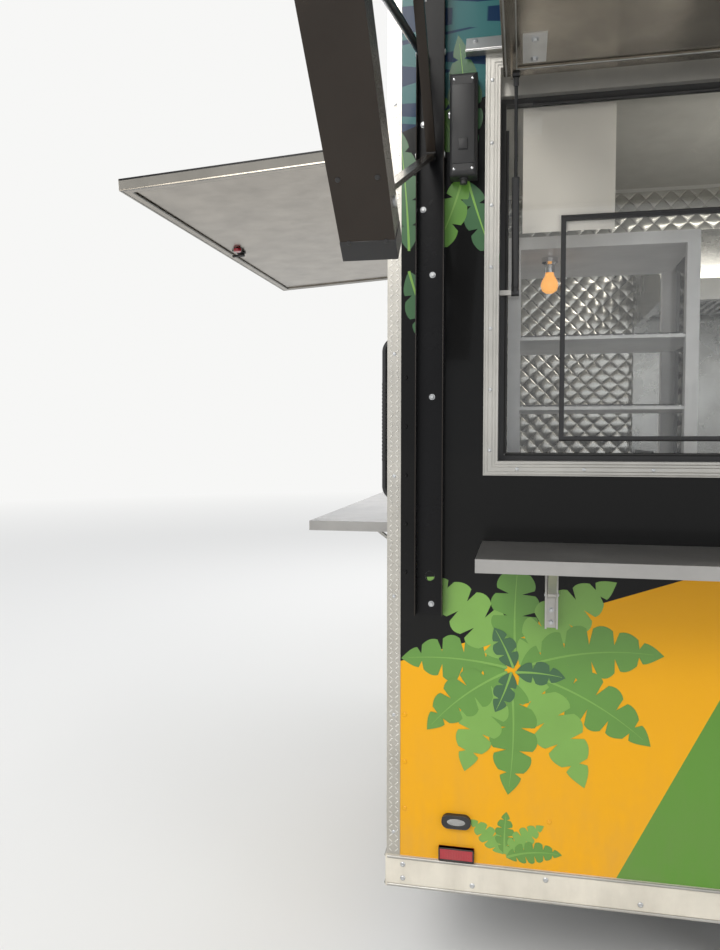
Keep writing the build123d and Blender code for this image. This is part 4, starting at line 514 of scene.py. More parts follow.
def bar(mesh, start, end, radius, steps=12):
    """A closed round bar between two points."""
    start, end = Vector(start), Vector(end)
    reach = (end - start).length
    place = aim(start, end - start) @ Matrix.Translation((0, 0, reach / 2))
    bmesh.ops.create_cone(mesh, cap_ends=True, segments=steps, radius1=radius, radius2=radius, depth=reach,
                          matrix=place)


def chain(mesh, points, radius, steps, closed=False):
    """Bars from each point to the next."""
    for a, b in zip(points, points[1:] + points[:1] if closed else points[1:]):
        bar(mesh, a, b, radius, steps)


PAN_RINGS = ((1.0, 0.0), (0.97, 0.5), (0.72, 0.9), (0.34, 1.0))
PAN_STEPS = 10


def pan_screw(mesh, point, normal, radius, rise):
    """A pan head with a driver recess."""
    place = aim(Vector(point), normal)
    turns = [math.tau * k / PAN_STEPS for k in range(PAN_STEPS)]
    ring = [Vector((math.cos(turn), math.sin(turn), 0)) * radius for turn in turns]
    loops = []
    for share, lift in PAN_RINGS:
        loops.append([mesh.verts.new(place @ (spot * share + UP * rise * lift)) for spot in ring])
    deep = mesh.verts.new(place @ Vector((0, 0, rise * 0.45)))
    for k in range(PAN_STEPS):
        after = (k + 1) % PAN_STEPS
        for inner, outer in zip(loops, loops[1:]):
            mesh.faces.new((inner[k], inner[after], outer[after], outer[k]))
        mesh.faces.new((loops[-1][k], loops[-1][after], deep))
    mesh.faces.new(list(reversed(loops[0])))


WASHER = 0.0015


def hex_bolt(mesh, point, normal, across, height, washer=True):
    """A hexagon head on its washer."""
    normal = Vector(normal).normalized()
    point = Vector(point)
    base = WASHER if washer else 0.0
    if washer:
        bar(mesh, point, point + normal * WASHER, across * 0.78, 14)
    radius = across / math.sqrt(3)
    made = bmesh.ops.create_cone(mesh, cap_ends=True, segments=6, radius1=radius, radius2=radius,
                                 depth=height, matrix=aim(point + normal * (base + height / 2), normal))
    top = [edge for edge in {e for v in made["verts"] for e in v.link_edges}
           if all((v.co - point).dot(normal) > base + height * 0.6 for v in edge.verts)]
    bmesh.ops.bevel(mesh, geom=top, offset=height * 0.16, segments=1, profile=0.5, affect="EDGES",
                    material=-1)


def grid_sheet(spot, rows, columns):
    """A sheet of quads through spot(u, v), with u and v from 0 to 1."""
    mesh = bmesh.new()
    across, along = spread(0.0, 1.0, columns + 1), spread(0.0, 1.0, rows + 1)
    grid = [[mesh.verts.new(spot(u, v)) for u in across] for v in along]
    for low, high in zip(grid, grid[1:]):
        for c in range(columns):
            mesh.faces.new((low[c], low[c + 1], high[c + 1], high[c]))
    return mesh


def circle(centre, radius, count, start=0.0):
    """Points evenly round an upright axis."""
    turns = [start + math.tau * k / count for k in range(count)]
    return [Vector(centre) + Vector((math.cos(turn), math.sin(turn), 0)) * radius for turn in turns]


def up_to(low, high, pitch):
    """Numbers from low to below high, a pitch apart."""
    return [low + k * pitch for k in range(math.ceil((high - low) / pitch))]


def rectangle(place, low, high, out):
    """The corners of an upright rectangle on a wall; low and high are (along, height)."""
    return [place(a, out, z) for a, z in (low, (high[0], low[1]), high, (low[0], high[1]))]


def rim(low, high, near, far, edge):
    """The four strips inside a rectangle's edges, as (low, high, near, far)."""
    return ((low, high, far - edge, far), (low, high, near, near + edge),
            (low, low + edge, near, far), (high - edge, high, near, far))


# Bottom rail: an aluminium extrusion with a rounded bead along both edges, screwed to the wall frame all
# round the body. It is open at the wheel arches and at the tongue, and its screws sit a little off their
# marks.
rail_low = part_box("bottom_rails")[0][2]
RAIL_OUT = 0.004
BEAD_IN = 0.0045
LOW_ROW = 0.024
HIGH_ROW = 0.060
DRIVEN_OFF = (0.0, -0.015, -0.027, 0.005)
flare_low, flare_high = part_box("fender_flares")
ARCH = (flare_low[0] - REAR_X + 0.048, flare_high[0] - REAR_X - 0.048)
GAPS = {kerb: ARCH, street: ARCH, front: (0.60, WIDTH - 0.60)}
GAP_EDGE = 0.02
beads, screws = fresh(2)
for wall in WALLS:
    gap = GAPS.get(wall)
    spans = ((0.0, gap[0]), (gap[1], wall.length)) if gap else ((0.0, wall.length),)
    for start, end in spans:
        for z in (rail_low + BEAD_IN, RAIL_TOP - BEAD_IN):
            bar(beads, wall(start + 0.001, RAIL_OUT, z), wall(end - 0.001, RAIL_OUT, z), 0.0042, 10)
    for index, mark in enumerate(spread(0.041, wall.length - 0.039, int(wall.length / 0.19) + 1)):
        along = mark + DRIVEN_OFF[index % 4]
        if gap and gap[0] - GAP_EDGE < along < gap[1] + GAP_EDGE:
            continue
        rows = (HIGH_ROW, LOW_ROW) if index == 0 else (LOW_ROW if index % 2 else HIGH_ROW,)
        for row in rows:
            pan_screw(screws, wall(along, RAIL_OUT, rail_low + row), wall.normal, 0.0068, 0.0034)
put("rail_beads", beads, SHADED_ALUMINIUM, 40)
put("rail_screws", screws, ZINC, 30)

# Corner angles: aluminium tread plate bent to an angle, its raised bars in a herringbone. A column of screws
# fixes each leg over the ends of the skins.
TRIM_OUT = 0.0016
TREAD_HALF = 0.0020
TREAD_RISE = 0.0012
TREAD_REACH = 0.0042
tread, corner_screws = fresh(2)


def tread_bar(mesh, a, b, normal):
    """One raised bar from a to b: widest in its middle and drawn in towards its top."""
    middle = (a + b) / 2
    across = (b - a).normalized().cross(normal) * TREAD_HALF
    narrow = across * 0.4
    base = (a - narrow, a + narrow, middle + across, b + narrow, b - narrow, middle - across)
    low = [mesh.verts.new(point) for point in base]
    high = [mesh.verts.new(middle + (point - middle) * 0.72 + normal * TREAD_RISE) for point in base]
    for k in range(6):
        after = (k + 1) % 6
        mesh.faces.new((low[k], low[after], high[after], high[k]))
    mesh.faces.new(high)


for wall in WALLS:
    for start, hand in ((0.0, 1.0), (wall.length, -1.0)):
        for row, z in enumerate(up_to(RAIL_TOP + 0.012, 2.795, 0.0125)):
            for column in range(2):
                centre = start + hand * (0.0085 + column * 0.015)
                lean = TREAD_REACH if (row + column) % 2 else -TREAD_REACH
                tread_bar(tread, wall(centre - TREAD_REACH, TRIM_OUT, z - lean),
                          wall(centre + TREAD_REACH, TRIM_OUT, z + lean), wall.normal)
        for z in up_to(RAIL_TOP + 0.06, 2.78, 0.305):
            pan_screw(corner_screws, wall(start + hand * 0.0165, TRIM_OUT, z), wall.normal, 0.0048, 0.0024)
put("tread_bars", tread, TREAD_WORN)
put("corner_screws", corner_screws, ZINC, 30)

# Skin screws: low steel pan heads that fix the aluminium skin to the studs behind it. They were driven before
# the wrap went on, which is stuck over them.
WHOLE = ((0.5, 2.70),)
for name, wall, print_, columns in (
        ("kerb", kerb, WRAP_KERB, ((0.045, ((0.5, 0.80), (1.12, 1.72))), (0.405, ((0.5, 0.62),)),
                                   (3.44, WHOLE))),
        ("street", street, WRAP_STREET, ((0.405, WHOLE), (2.43, WHOLE))),
):
    skin = bmesh.new()
    for column, spans in columns:
        for z in up_to(0.55, 2.70, 0.122):
            if any(low < z < high for low, high in spans):
                pan_screw(skin, wall(column, 0.0, z), wall.normal, 0.0056, 0.0026)
    put(f"skin_screws_{name}", skin, print_, 30)

# Window frames: a ribbed aluminium extrusion mitred round each service window. Its flange lies on the skin
# and is screwed through its middle.
FLANGE = 0.032
FLANGE_OUT = 0.006
ribs, flange_screws = fresh(2)
for _, place, half, _ in BAYS:
    for step in (0.0035, 0.0105, 0.0215, 0.0285):
        corners = rectangle(place, (-half - step, SILL_Z - step), (half + step, HEAD_Z + step), FLANGE_OUT)
        chain(ribs, corners, 0.0013, 6, closed=True)
    spots = [(a, z) for a in spread(-half + 0.05, half - 0.05, int(2 * half / 0.16) + 1)
             for z in (SILL_Z - FLANGE / 2, HEAD_Z + FLANGE / 2)]
    middle = half + FLANGE / 2
    spots += [(a, z) for z in spread(SILL_Z + 0.03, HEAD_Z - 0.03, 7) for a in (-middle, middle)]
    for a, z in spots:
        pan_screw(flange_screws, place(a, FLANGE_OUT, z), place.normal, 0.0046, 0.0022)
put("flange_ribs", ribs, SHADED_ALUMINIUM, 40)
put("flange_screws", flange_screws, ZINC, 30)

# Window seals and slider fittings: a rubber bead pressed in round the pane, leaving room for the struts'
# ears. Black painted lips, two finger pulls and a latch are fixed to the slider and its tracks.
SEAL_IN = 0.057
EAR_ROOM = 0.060
TRACK_IN = 0.0725
TRACKS = (1.4915, 2.0435)
PULL_DEPTH = (-0.0665, -0.0735)
PULLS = ((-0.035, -0.025, 1.70, 1.80, 0.0022), (0.025, 0.035, 1.70, 1.80, 0.0022),
         (-0.022, 0.022, 1.758, 1.772, 0.0025))
seals, fittings = fresh(2)
for _, place, half, _ in BAYS:
    a, low, high = half - 0.0195, SILL_Z + 0.0195, HEADER_Z - 0.0165
    sides = [((hand * a, low), (hand * a, high - EAR_ROOM)) for hand in (-1, 1)]
    for start, end in (*sides, ((-a, low), (a, low)), ((-a + EAR_ROOM, high), (a - EAR_ROOM, high))):
        bar(seals, place(start[0], -SEAL_IN, start[1]), place(end[0], -SEAL_IN, end[1]), 0.0036, 8)
    reach = half - 0.151
    for z in TRACKS:
        bar(fittings, place(-reach, -TRACK_IN, z), place(reach, -TRACK_IN, z), 0.0022, 6)
    near, far = PULL_DEPTH
    for low, high, bottom, top, round_ in PULLS:
        brick(fittings, place(low, near, bottom), place(high, far, top), round_)
put("window_seals", seals, RUBBER, 50)
put("slider_fittings", fittings, BLACK_PAINT, 40)

# Blank card: stiff white paper that stands behind the glass of the side window. Its lower corners have curled
# away from the pane, and its middle is a little wavy.
CARD_IN = 0.0837
CARD_AT = (0.326, 2.010)
CARD_SIZE = (0.222, 0.305)


def card_spot(u, v):
    """A point of the card."""
    curl = 0.006 * abs(2 * u - 1) ** 3 * (1 - v) + 0.0012 * math.sin(5 * u + 3 * v)
    return kerb(CARD_AT[0] + CARD_SIZE[0] * u, -CARD_IN - curl, CARD_AT[1] + CARD_SIZE[1] * v)


put("blank_card", grid_sheet(card_spot, 12, 8), PAPER, 180)

# Hatches: aluminium sheet with a stiffening fold, held in side extrusions under a printed outer skin. The
# sheet's colour is darkened with painted shade and a painted reflection, and the grey side extrusions are
# darkened as painted shade. Each hangs on a row of rolled knuckles, and carries bolted strut plates, a
# moulded turn latch and a red release button.
HATCH_REACH = HINGE_Z - SILL_Z - 0.011
STRUT_IN = 0.041
KNUCKLES = 36


class Hatch:
    """An open hatch. Called with a place along its hinge, away from it and under its skin, gives a point."""

    def __init__(self, place, half, angle):
        turn = math.radians(angle)
        self.hinge = place(0.0, HINGE_OUT, HINGE_Z)
        self.level = place.level
        self.away = place.normal * math.sin(turn) - UP * math.cos(turn)
        self.inside = place.normal * -math.cos(turn) - UP * math.sin(turn)
        self.half = half - 0.011

    def __call__(self, a, away, depth):
        return self.hinge + self.level * a + self.away * away + self.inside * (depth + 0.004)


HATCHES = [(name, place, half, Hatch(place, half, angle)) for name, place, half, angle in BAYS]
for name, place, half, hatch in HATCHES:
    body = f"{name}_hatch"
    panel = hatch.half
    end = HATCH_REACH
    folds, ends, skin_edges, knuckles, plates, heads, latch, release = fresh(8)
    for a, near, far, depth, radius in ((panel - 0.006, 0.016, end - 0.004, 0.0375, 0.0022),
                                        (panel - 0.030, 0.043, end - 0.030, 0.0365, 0.0018)):
        for hand in (-1, 1):
            bar(folds, hatch(hand * a, near, depth), hatch(hand * a, far, depth), radius, 8)
    for a, away, depth, radius in ((panel - 0.030, 0.045, 0.0365, 0.0018),
                                   (panel - 0.030, end - 0.032, 0.0365, 0.0018),
                                   (panel - 0.004, end - 0.006, 0.0375, 0.0022)):
        bar(folds, hatch(-a, away, depth), hatch(a, away, depth), radius, 8)
    put(f"{name}_hatch_folds", folds, HATCH_EDGE, 40, body)
    lying = Matrix((hatch.level, hatch.away, hatch.inside)).transposed().to_4x4()
    lying.translation = hatch(0.0, 0.0, 0.0)
    for hand in (-1, 1):
        for mesh, near, far in ((ends, 0.0062, 0.0340), (skin_edges, 0.0, 0.0062)):
            brick(mesh, (hand * (panel - 0.0004), 0.012, near), (hand * (panel + 0.0006), end - 0.001, far),
                  place=lying)
    # The ends take the grey extrusion colour, darkened as painted shade.
    put(f"{name}_hatch_ends", ends, SHADED_HATCH_SIDE, body=body)
    put(f"{name}_hatch_skin_edges", skin_edges, CHANNEL_BLACK, body=body)
    skin = grid_sheet(lambda u, v: hatch((2 * u - 1) * (panel - 0.004), 0.050 + (end - 0.056) * v, -0.0004),
                      4, 4)
    put(f"{name}_hatch_skin", skin, WRAP_HATCH[name], body=body)
    pitch = 2 * panel / KNUCKLES
    for index in range(1, KNUCKLES, 2):
        a = -panel + index * pitch
        bar(knuckles, hatch(a + 0.0006, 0.0, -0.004), hatch(a + pitch - 0.0006, 0.0, -0.004), 0.0037, 10)
    put(f"{name}_hinge_knuckles", knuckles, SHADED_ALUMINIUM, 40, body)
    for hand in (-1, 1):
        a = hand * (half - STRUT_IN)
        brick(plates, hatch(a - hand * 0.014, 0.068, 0.0322), hatch(a - hand * 0.066, 0.200, 0.0347))
        for away in (0.088, 0.178):
            hex_bolt(heads, hatch(a - hand * 0.040, away, 0.0347), hatch.inside, 0.012, 0.005)
    put(f"{name}_hatch_plates", plates, SATIN, body=body)
    put(f"{name}_hatch_bolts", heads, ZINC, 30, body)
    centre = hatch(0.035, end - 0.075, 0.0342)
    knob(latch, centre, hatch.inside, ((0.020, 0.0), (0.020, 0.003), (0.014, 0.006), (0.014, 0.016)), 18)
    centre += hatch.inside * 0.012
    bar(latch, centre, centre + hatch.away * 0.040, 0.0055, 10)
    knob(release, hatch(-0.030, end - 0.082, 0.0342), hatch.inside,
         ((0.017, 0.0), (0.017, 0.006), (0.015, 0.012), (0.0, 0.013)), 18)
    put(f"{name}_hatch_latch", latch, BLACK_PLASTIC, 35, body)
    put(f"{name}_hatch_release", release, RED_LENS, 35, body)

# Gas struts: black painted steel tubes with a crimped collar and gland, and a foot ring at the lower end. A
# black moulded socket is screwed on each nitrided rod at its eye.
COLLAR = ((0.0091, 0.0), (0.0094, 0.002), (0.0088, 0.006), (0.0094, 0.010), (0.0094, 0.0325),
          (0.0070, 0.0345), (0.0045, 0.0345))
FOOT_RING = ((0.0060, 0.0), (0.0094, 0.004), (0.0094, 0.010), (0.0091, 0.012))
SOCKET = ((0.0041, 0.0), (0.0062, 0.001), (0.0062, 0.018), (0.0041, 0.019))
for name, place, half, hatch in HATCHES:
    collars, sockets = fresh(2)
    for hand in (-1, 1):
        a = hand * (half - STRUT_IN)
        foot, head = place(a, -0.054, 1.857), hatch(a, 0.090, 0.066)
        path = (head - foot).normalized()
        lathe(collars, foot + path * 0.236, path, COLLAR, 18)
        lathe(collars, foot + path * 0.010, path, FOOT_RING, 18)
        lathe(sockets, head - path * 0.026, path, SOCKET, 14)
    put(f"{name}_strut_collars", collars, BLACK_PAINT, 40, f"{name}_strut_barrels")
    put(f"{name}_strut_ends", sockets, BLACK_PLASTIC, 40, f"{name}_strut_rods")

# Shelves: brushed steel trays with rolled edges and ribs pressed in the underside, their steel darkened as
# painted shade. Each hangs on three brackets, which are bolted to the wall and turn on steel pins.
SHELF_Z = 1.2445
SHELF_OUT = 0.3045
BRACKET_IN = 0.167
for name, place, half, _ in BAYS:
    edge, feet, pins = fresh(3)
    tray = half + FLANGE
    for z in (SHELF_Z - 0.0012, SHELF_Z - 0.0278):
        bar(edge, place(-tray + 0.001, SHELF_OUT, z), place(tray - 0.001, SHELF_OUT, z), 0.0014, 8)
        for a in (-tray + 0.0014, tray - 0.0014):
            bar(edge, place(a, 0.006, z), place(a, SHELF_OUT, z), 0.0014, 8)
    for a in spread(-tray * 0.8, tray * 0.8, 5):
        brick(edge, place(a - 0.020, 0.020, SHELF_Z - 0.0145),
              place(a + 0.020, 0.300, SHELF_Z - 0.0022), 0.003, 1)
    put(f"{name}_shelf_edge", edge, SHADED_SHELF_STEEL, 40, f"{name}_shelf")
    for a in (-tray + BRACKET_IN, 0.0, tray - BRACKET_IN):
        for z in (1.050, 1.080, 1.165, 1.188):
            hex_bolt(feet, place(a, 0.003, z), place.normal, 0.008, 0.004)
        for hand in (-1, 1):
            knob(pins, place(a + hand * 0.0155, 0.015, 1.120), place.level * hand,
                 ((0.0055, -0.0002), (0.0055, 0.0014), (0.0030, 0.0024)), 12)
    put(f"{name}_bracket_bolts", feet, ZINC, 30)
    put(f"{name}_bracket_pins", pins, ZINC, 30)

# Awning arms: bronze-anodised aluminium channels with riveted webs and a moulded cap on the lower end. They
# turn on steel pins, and hang on links from the wall channels, whose pins are made here as well.
LINK_FOOT = (0.026, 2.180)
LINK_LEAN = math.radians(-23.2)
LINK_REACH = 0.8637
ARM_LEAN = math.radians(43.8)
ARM_FOOT = (LINK_FOOT[0] + LINK_REACH * math.cos(LINK_LEAN), LINK_FOOT[1] + LINK_REACH * math.sin(LINK_LEAN))
ARM_RUN = Vector((0, -math.cos(ARM_LEAN), math.sin(ARM_LEAN)))
ARM_UP = Vector((0, math.sin(ARM_LEAN), math.cos(ARM_LEAN)))
ARM_HALF = 0.0415
ARM_WEB = -0.031
ARM_FLANGE = 0.021
ARM_TAIL = -0.075
CAP_HALF = ARM_HALF + 0.0007
CAP_LOW, CAP_HIGH = ARM_TAIL - 0.0010, ARM_TAIL + 0.032
STRUT_ON_ARM = (0.012, 0.410)
STRUT_TOP = 2.420
ARM_PIN = ((0.0085, 0.0), (0.0085, 0.0022), (0.0050, 0.0034))
CHANNEL_PIN = ((0.0075, -0.0004), (0.0075, 0.0018), (0.0040, 0.0028))
arms_low, arms_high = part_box("awning_arms")
AWNINGS = ((arms_low[0] - REAR_X + ARM_HALF, 1.0), (arms_high[0] - REAR_X - ARM_HALF, -1.0))


def arm_frame(along):
    """The matrix of one arm: x along the body, y towards the wall, z up the arm from its foot pin."""
    made = Matrix((Vector((1, 0, 0)), ARM_UP, ARM_RUN)).transposed().to_4x4()
    made.translation = kerb(along, *ARM_FOOT)
    return made


caps, rivets, pins, link_pins = fresh(4)
for along, _ in AWNINGS:
    place = arm_frame(along)
    turned = place.to_3x3()
    brick(caps, (-CAP_HALF, ARM_WEB - 0.0007, CAP_LOW), (CAP_HALF, ARM_WEB + 0.0012, CAP_HIGH),
          0.0006, 1, place)
    for side in (-1, 1):
        brick(caps, (side * (ARM_HALF - 0.0010), ARM_WEB, CAP_LOW), (side * CAP_HALF, ARM_FLANGE, CAP_HIGH),
              0.0006, 1, place)
        for spot in ((0.0, 0.0), STRUT_ON_ARM, (0.0, 0.585)):
            knob(pins, place @ Vector((side * ARM_HALF, *spot)), turned @ Vector((side, 0, 0)), ARM_PIN)
        for run in (-0.045, 0.055, 0.300, 0.520, 0.900, 1.260):
            pan_screw(rivets, place @ Vector((side * 0.028, ARM_WEB, run)), -ARM_UP, 0.0040, 0.0016)
        for z in (LINK_FOOT[1], STRUT_TOP):
            knob(link_pins, kerb(along + side * 0.0335, LINK_FOOT[0], z), (side, 0, 0), CHANNEL_PIN, 14)
put("awning_arm_caps", caps, BLACK_PAINT, 40, "awning_arms")
put("awning_arm_rivets", rivets, BLACK_PAINT, 30, "awning_arms")
put("awning_arm_pins", pins, ZINC, 35, "awning_arms")
put("awning_channel_pins", link_pins, ZINC, 35)

# Wall channels: black anodised aluminium with a rolled lip on each flange, held to the studs by lag bolts
# down the web. A steel grommet lines the cable hole at the foot.
CHANNEL_SPAN = (1.058, 2.788)
GROMMET = ((0.0120, 0.0), (0.0150, 0.0), (0.0150, 0.0008), (0.0120, 0.0008), (0.0120, 0.0))
bolts, lips = fresh(2)
for along, hand in AWNINGS:
    for z in (1.082, 1.599, 1.898, 2.057, 2.262, 2.560, 2.740):
        aside = 0.004 if z < 2.0 else -0.020
        hex_bolt(bolts, kerb(along + hand * aside, 0.002, z), kerb.normal, 0.0095, 0.005)
    for side in (-1, 1):
        low, high = (kerb(along + side * 0.0332, 0.0350, z) for z in CHANNEL_SPAN)
        bar(lips, low, high, 0.0011, 6)
    lathe(bolts, kerb(along, 0.0020, 1.152), kerb.normal, GROMMET, 20)
put("awning_channel_bolts", bolts, ZINC, 30)
put("awning_channel_lips", lips, BRONZE, 40)

# Awning struts: black painted tubes, each crimped at its mouth over a wiper. The bright ground rod slides in
# it and ends in a plated ferrule at its eye.
BARREL_COLLAR = ((0.0091, 0.0), (0.0094, 0.003), (0.0088, 0.008), (0.0094, 0.013), (0.0094, 0.0440),
                 (0.0075, 0.0462), (0.0055, 0.0462))
FERRULE = ((0.0051, 0.0), (0.0072, 0.001), (0.0072, 0.023), (0.0051, 0.024))
collars, ends = fresh(2)
for along, hand in AWNINGS:
    x = along - hand * 0.0215
    foot, head = kerb(x, LINK_FOOT[0], STRUT_TOP), arm_frame(x) @ Vector((0, *STRUT_ON_ARM))
    path = (head - foot).normalized()
    lathe(collars, foot + path * 0.596, path, BARREL_COLLAR, 18)
    lathe(ends, head - path * 0.034, path, FERRULE, 14)
put("awning_strut_collars", collars, BLACK_PAINT, 40, "awning_strut_barrels")
put("awning_strut_ends", ends, ZINC, 40, "awning_strut_rods")

# Control box: a black moulding with a raised lid panel, held by four screws, and a rocker. A bright key
# switch sits in its side, and a blanked cable gland is screwed in from below.
box_low, box_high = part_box("control_box")
BOX_LEFT, BOX_RIGHT = box_low[0] - REAR_X, box_high[0] - REAR_X
BOX_LOW, BOX_HIGH = box_low[2], box_high[2]
BOX_OUT = KERB_Y - box_low[1]
BOX_MID = (BOX_LEFT + BOX_RIGHT) / 2
lid, lid_metal = fresh(2)
for x in (BOX_LEFT + 0.0005, BOX_RIGHT - 0.0005):
    brick(lid, kerb(x - 0.0009, 0.030, BOX_LOW + 0.010), kerb(x + 0.0009, 0.0325, BOX_HIGH - 0.010),
          0.0004, 1)
for x in (BOX_LEFT + 0.011, BOX_RIGHT - 0.011):
    for z in (BOX_LOW + 0.016, BOX_HIGH - 0.016):
        pan_screw(lid_metal, kerb(x, BOX_OUT, z), kerb.normal, 0.0034, 0.0016)
brick(lid, kerb(BOX_LEFT + 0.006, BOX_OUT, BOX_LOW + 0.028),
      kerb(BOX_RIGHT - 0.006, BOX_OUT + 0.0012, BOX_HIGH - 0.028), 0.0010)
brick(lid, kerb(BOX_MID - 0.011, BOX_OUT + 0.001, 2.180),
      kerb(BOX_MID + 0.011, BOX_OUT + 0.0050, 2.206), 0.0016)
knob(lid_metal, kerb(BOX_LEFT + 0.0005, 0.024, 2.270), (-1, 0, 0),
     ((0.0105, 0.0), (0.0105, 0.0035), (0.0080, 0.0050), (0.0070, 0.0038)), 20)
brick(lid, kerb(BOX_LEFT - 0.0036, 0.0232, 2.2655), kerb(BOX_LEFT - 0.0030, 0.0248, 2.2745))
knob(lid, kerb(BOX_MID, 0.024, BOX_LOW), -UP,
     ((0.011, 0.0), (0.011, 0.004), (0.0085, 0.006), (0.0085, 0.014), (0.0, 0.0145)), 12)
put("control_box_lid", lid, BLACK_PLASTIC, 40)
put("control_box_metal", lid_metal, CHROME, 35)

# Drip caps: bright aluminium sheet folded over the head of each window to throw water clear. It has a bead
# along its lip and is bolted through its slope.
CAP_Z = HEAD_Z + FLANGE
CAP_FOLDS = (((0.0024, 0.0422), (0.0264, 0.0062)), ((0.0264, 0.0060), (0.0264, 0.0003)))
beads, heads = fresh(2)
for name, place, half, _ in BAYS:
    reach = half + 0.079
    skin = bmesh.new()
    for high, low in CAP_FOLDS:
        corners = ((-1, high), (1, high), (1, low), (-1, low))
        spots = [place(hand * (reach - 0.0005), out, CAP_Z + z) for hand, (out, z) in corners]
        skin.faces.new([skin.verts.new(spot) for spot in spots])
    ends = [place(hand * (reach - 0.001), 0.0255, CAP_Z + 0.0022) for hand in (-1, 1)]
    bar(beads, *ends, 0.0020, 8)
    slope = (place.normal * 0.83 + UP * 0.55).normalized()
    for a in (-reach + 0.022, -reach / 3, reach / 3, reach - 0.022):
        hex_bolt(heads, place(a, 0.0110, CAP_Z + 0.0302), slope, 0.0085, 0.0035)
    put(f"drip_cap_skin_{name}", skin, SATIN, 20, facing=slope)
put("drip_cap_beads", beads, POLISHED, 40)
put("drip_cap_bolts", heads, ZINC, 30)

# Marker lamps: black moulded frames snapped over red plastic lenses, which have fine ribs moulded in. The
# ovals beside them are black mouldings with a small clear window.
LAMP_OUT = 0.012
OVAL_AT = (0.177, 0.5315)
OVAL_R = 0.0165
OVAL_SHIFT = 0.0195
borders, ribs, windows, clear_ribs = fresh(4)


def lamp_frame(place, low, high, z_low, z_high, edge):
    """A raised border round a lamp on a wall, and fine ribs across its lens."""
    for a, b, c, d in rim(low, high, z_low, z_high, edge):
        brick(borders, place(a, 0.0002, c), place(b, LAMP_OUT + 0.0012, d), 0.0008, 1)
    count = int((high - low) / 0.006)
    for x in spread(low, high, count + 1)[1:-1]:
        bar(ribs, place(x, LAMP_OUT, z_low + edge), place(x, LAMP_OUT, z_high - edge), 0.0006, 6)


for wall in SIDES:
    lamp_frame(wall, 0.133, 0.222, 0.431, 0.464, 0.0035)
for across in (0.1325, WIDTH - 0.2975):
    lamp_frame(rear, across, across + 0.165, 0.530, 0.590, 0.005)
for wall in SIDES:
    outline = []
    for turn in (math.tau * index / 24 for index in range(24)):
        x = OVAL_AT[0] + math.copysign(OVAL_SHIFT, math.cos(turn)) + OVAL_R * math.cos(turn)
        outline.append(wall(x, LAMP_OUT, OVAL_AT[1] + OVAL_R * math.sin(turn)))
    chain(borders, outline, 0.0012, 6, closed=True)
    lens_at = wall(OVAL_AT[0], LAMP_OUT, OVAL_AT[1])
    before = set(windows.verts)
    knob(windows, lens_at, wall.normal, ((0.0088, 0.0), (0.0080, 0.0010), (0.0, 0.0014)), 32)
    made = [vert for vert in windows.verts if vert not in before]
    bmesh.ops.scale(windows, vec=(2.6, 1.0, 1.0), space=Matrix.Translation(-lens_at), verts=made)
    for x in spread(0.163, 0.191, 6):
        bar(clear_ribs, wall(x, LAMP_OUT + 0.0010, 0.5265), wall(x, LAMP_OUT + 0.0010, 0.5365), 0.0006, 6)
put("lamp_frames", borders, BLACK_PLASTIC, 40)
put("lamp_ribs", ribs, RED_LENS, 40)
put("lamp_windows", windows, CLEAR_LENS, 40)
put("lamp_window_ribs", clear_ribs, CLEAR_LENS, 40)

# Grab bar: bent steel tube with round flanges, powder-coated black and screwed to the rear corner. A ribbed
# rubber sleeve is pushed over the grip.
bar_low, bar_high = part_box("grab_bar")
GRAB_Y = (bar_low[1] + bar_high[1]) / 2
flanges, sleeve = fresh(2)
for z in (bar_low[2] + 0.009, bar_high[2] - 0.009):
    knob(flanges, (REAR_X - 0.0002, GRAB_Y, z), rear.normal,
         ((0.021, 0.0), (0.021, 0.0025), (0.0115, 0.0055)), 20)
    for side in (-1, 1):
        pan_screw(flanges, (REAR_X - 0.0030, GRAB_Y + side * 0.0155, z), rear.normal, 0.0030, 0.0014)
for k in range(22):
    lathe(sleeve, (bar_low[0] + 0.009, GRAB_Y, bar_low[2] + 0.115 + k * 0.0102), UP,
          ((0.0088, 0.0), (0.0098, 0.001), (0.0098, 0.0066), (0.0088, 0.0076)), 14)
put("grab_bar_flanges", flanges, BLACK_PAINT, 35)
put("grab_bar_sleeve", sleeve, RUBBER, 40)

# Leaf decals: broad notched leaves cut from green vinyl, each with a pale rib, stuck on the wraps in
# clusters. They overlap in layers, each a little above the last.
DECAL_OUT = 0.0004
LAYER = 0.00012
LOBE_STEPS = 8
RIB_STEPS = 12
VINYL = {tone: surface(name, colour, 0.20, 0.0, 0.05, 0.2, (0.4, 0.9), (300.0, 0.05), tint=0.03)
         for tone, name, colour in (("dark", "green vinyl", (0.115, 0.270, 0.045)),
                                    ("pale", "light green vinyl", (0.185, 0.370, 0.070)),
                                    ("deep", "deep green vinyl", (0.045, 0.125, 0.050)))}


def leaf_outline(length, width, lobes):
    """One edge of a leaf, stalk to tip, as (run, distance from the rib), slit between its lobes."""
    edge = []
    steps = lobes * LOBE_STEPS
    for k in range(steps + 1):
        share = k / steps
        across = width / 2 * math.sin(math.pi * share ** 0.8) ** 0.85
        lobe = (k % LOBE_STEPS) / LOBE_STEPS
        if 0 < k < steps:
            across *= 0.30 if lobe == 0 else 0.72 + 0.28 * math.sin(math.pi * lobe) ** 0.6
        edge.append((share * length + 0.16 * across, across))
    return edge


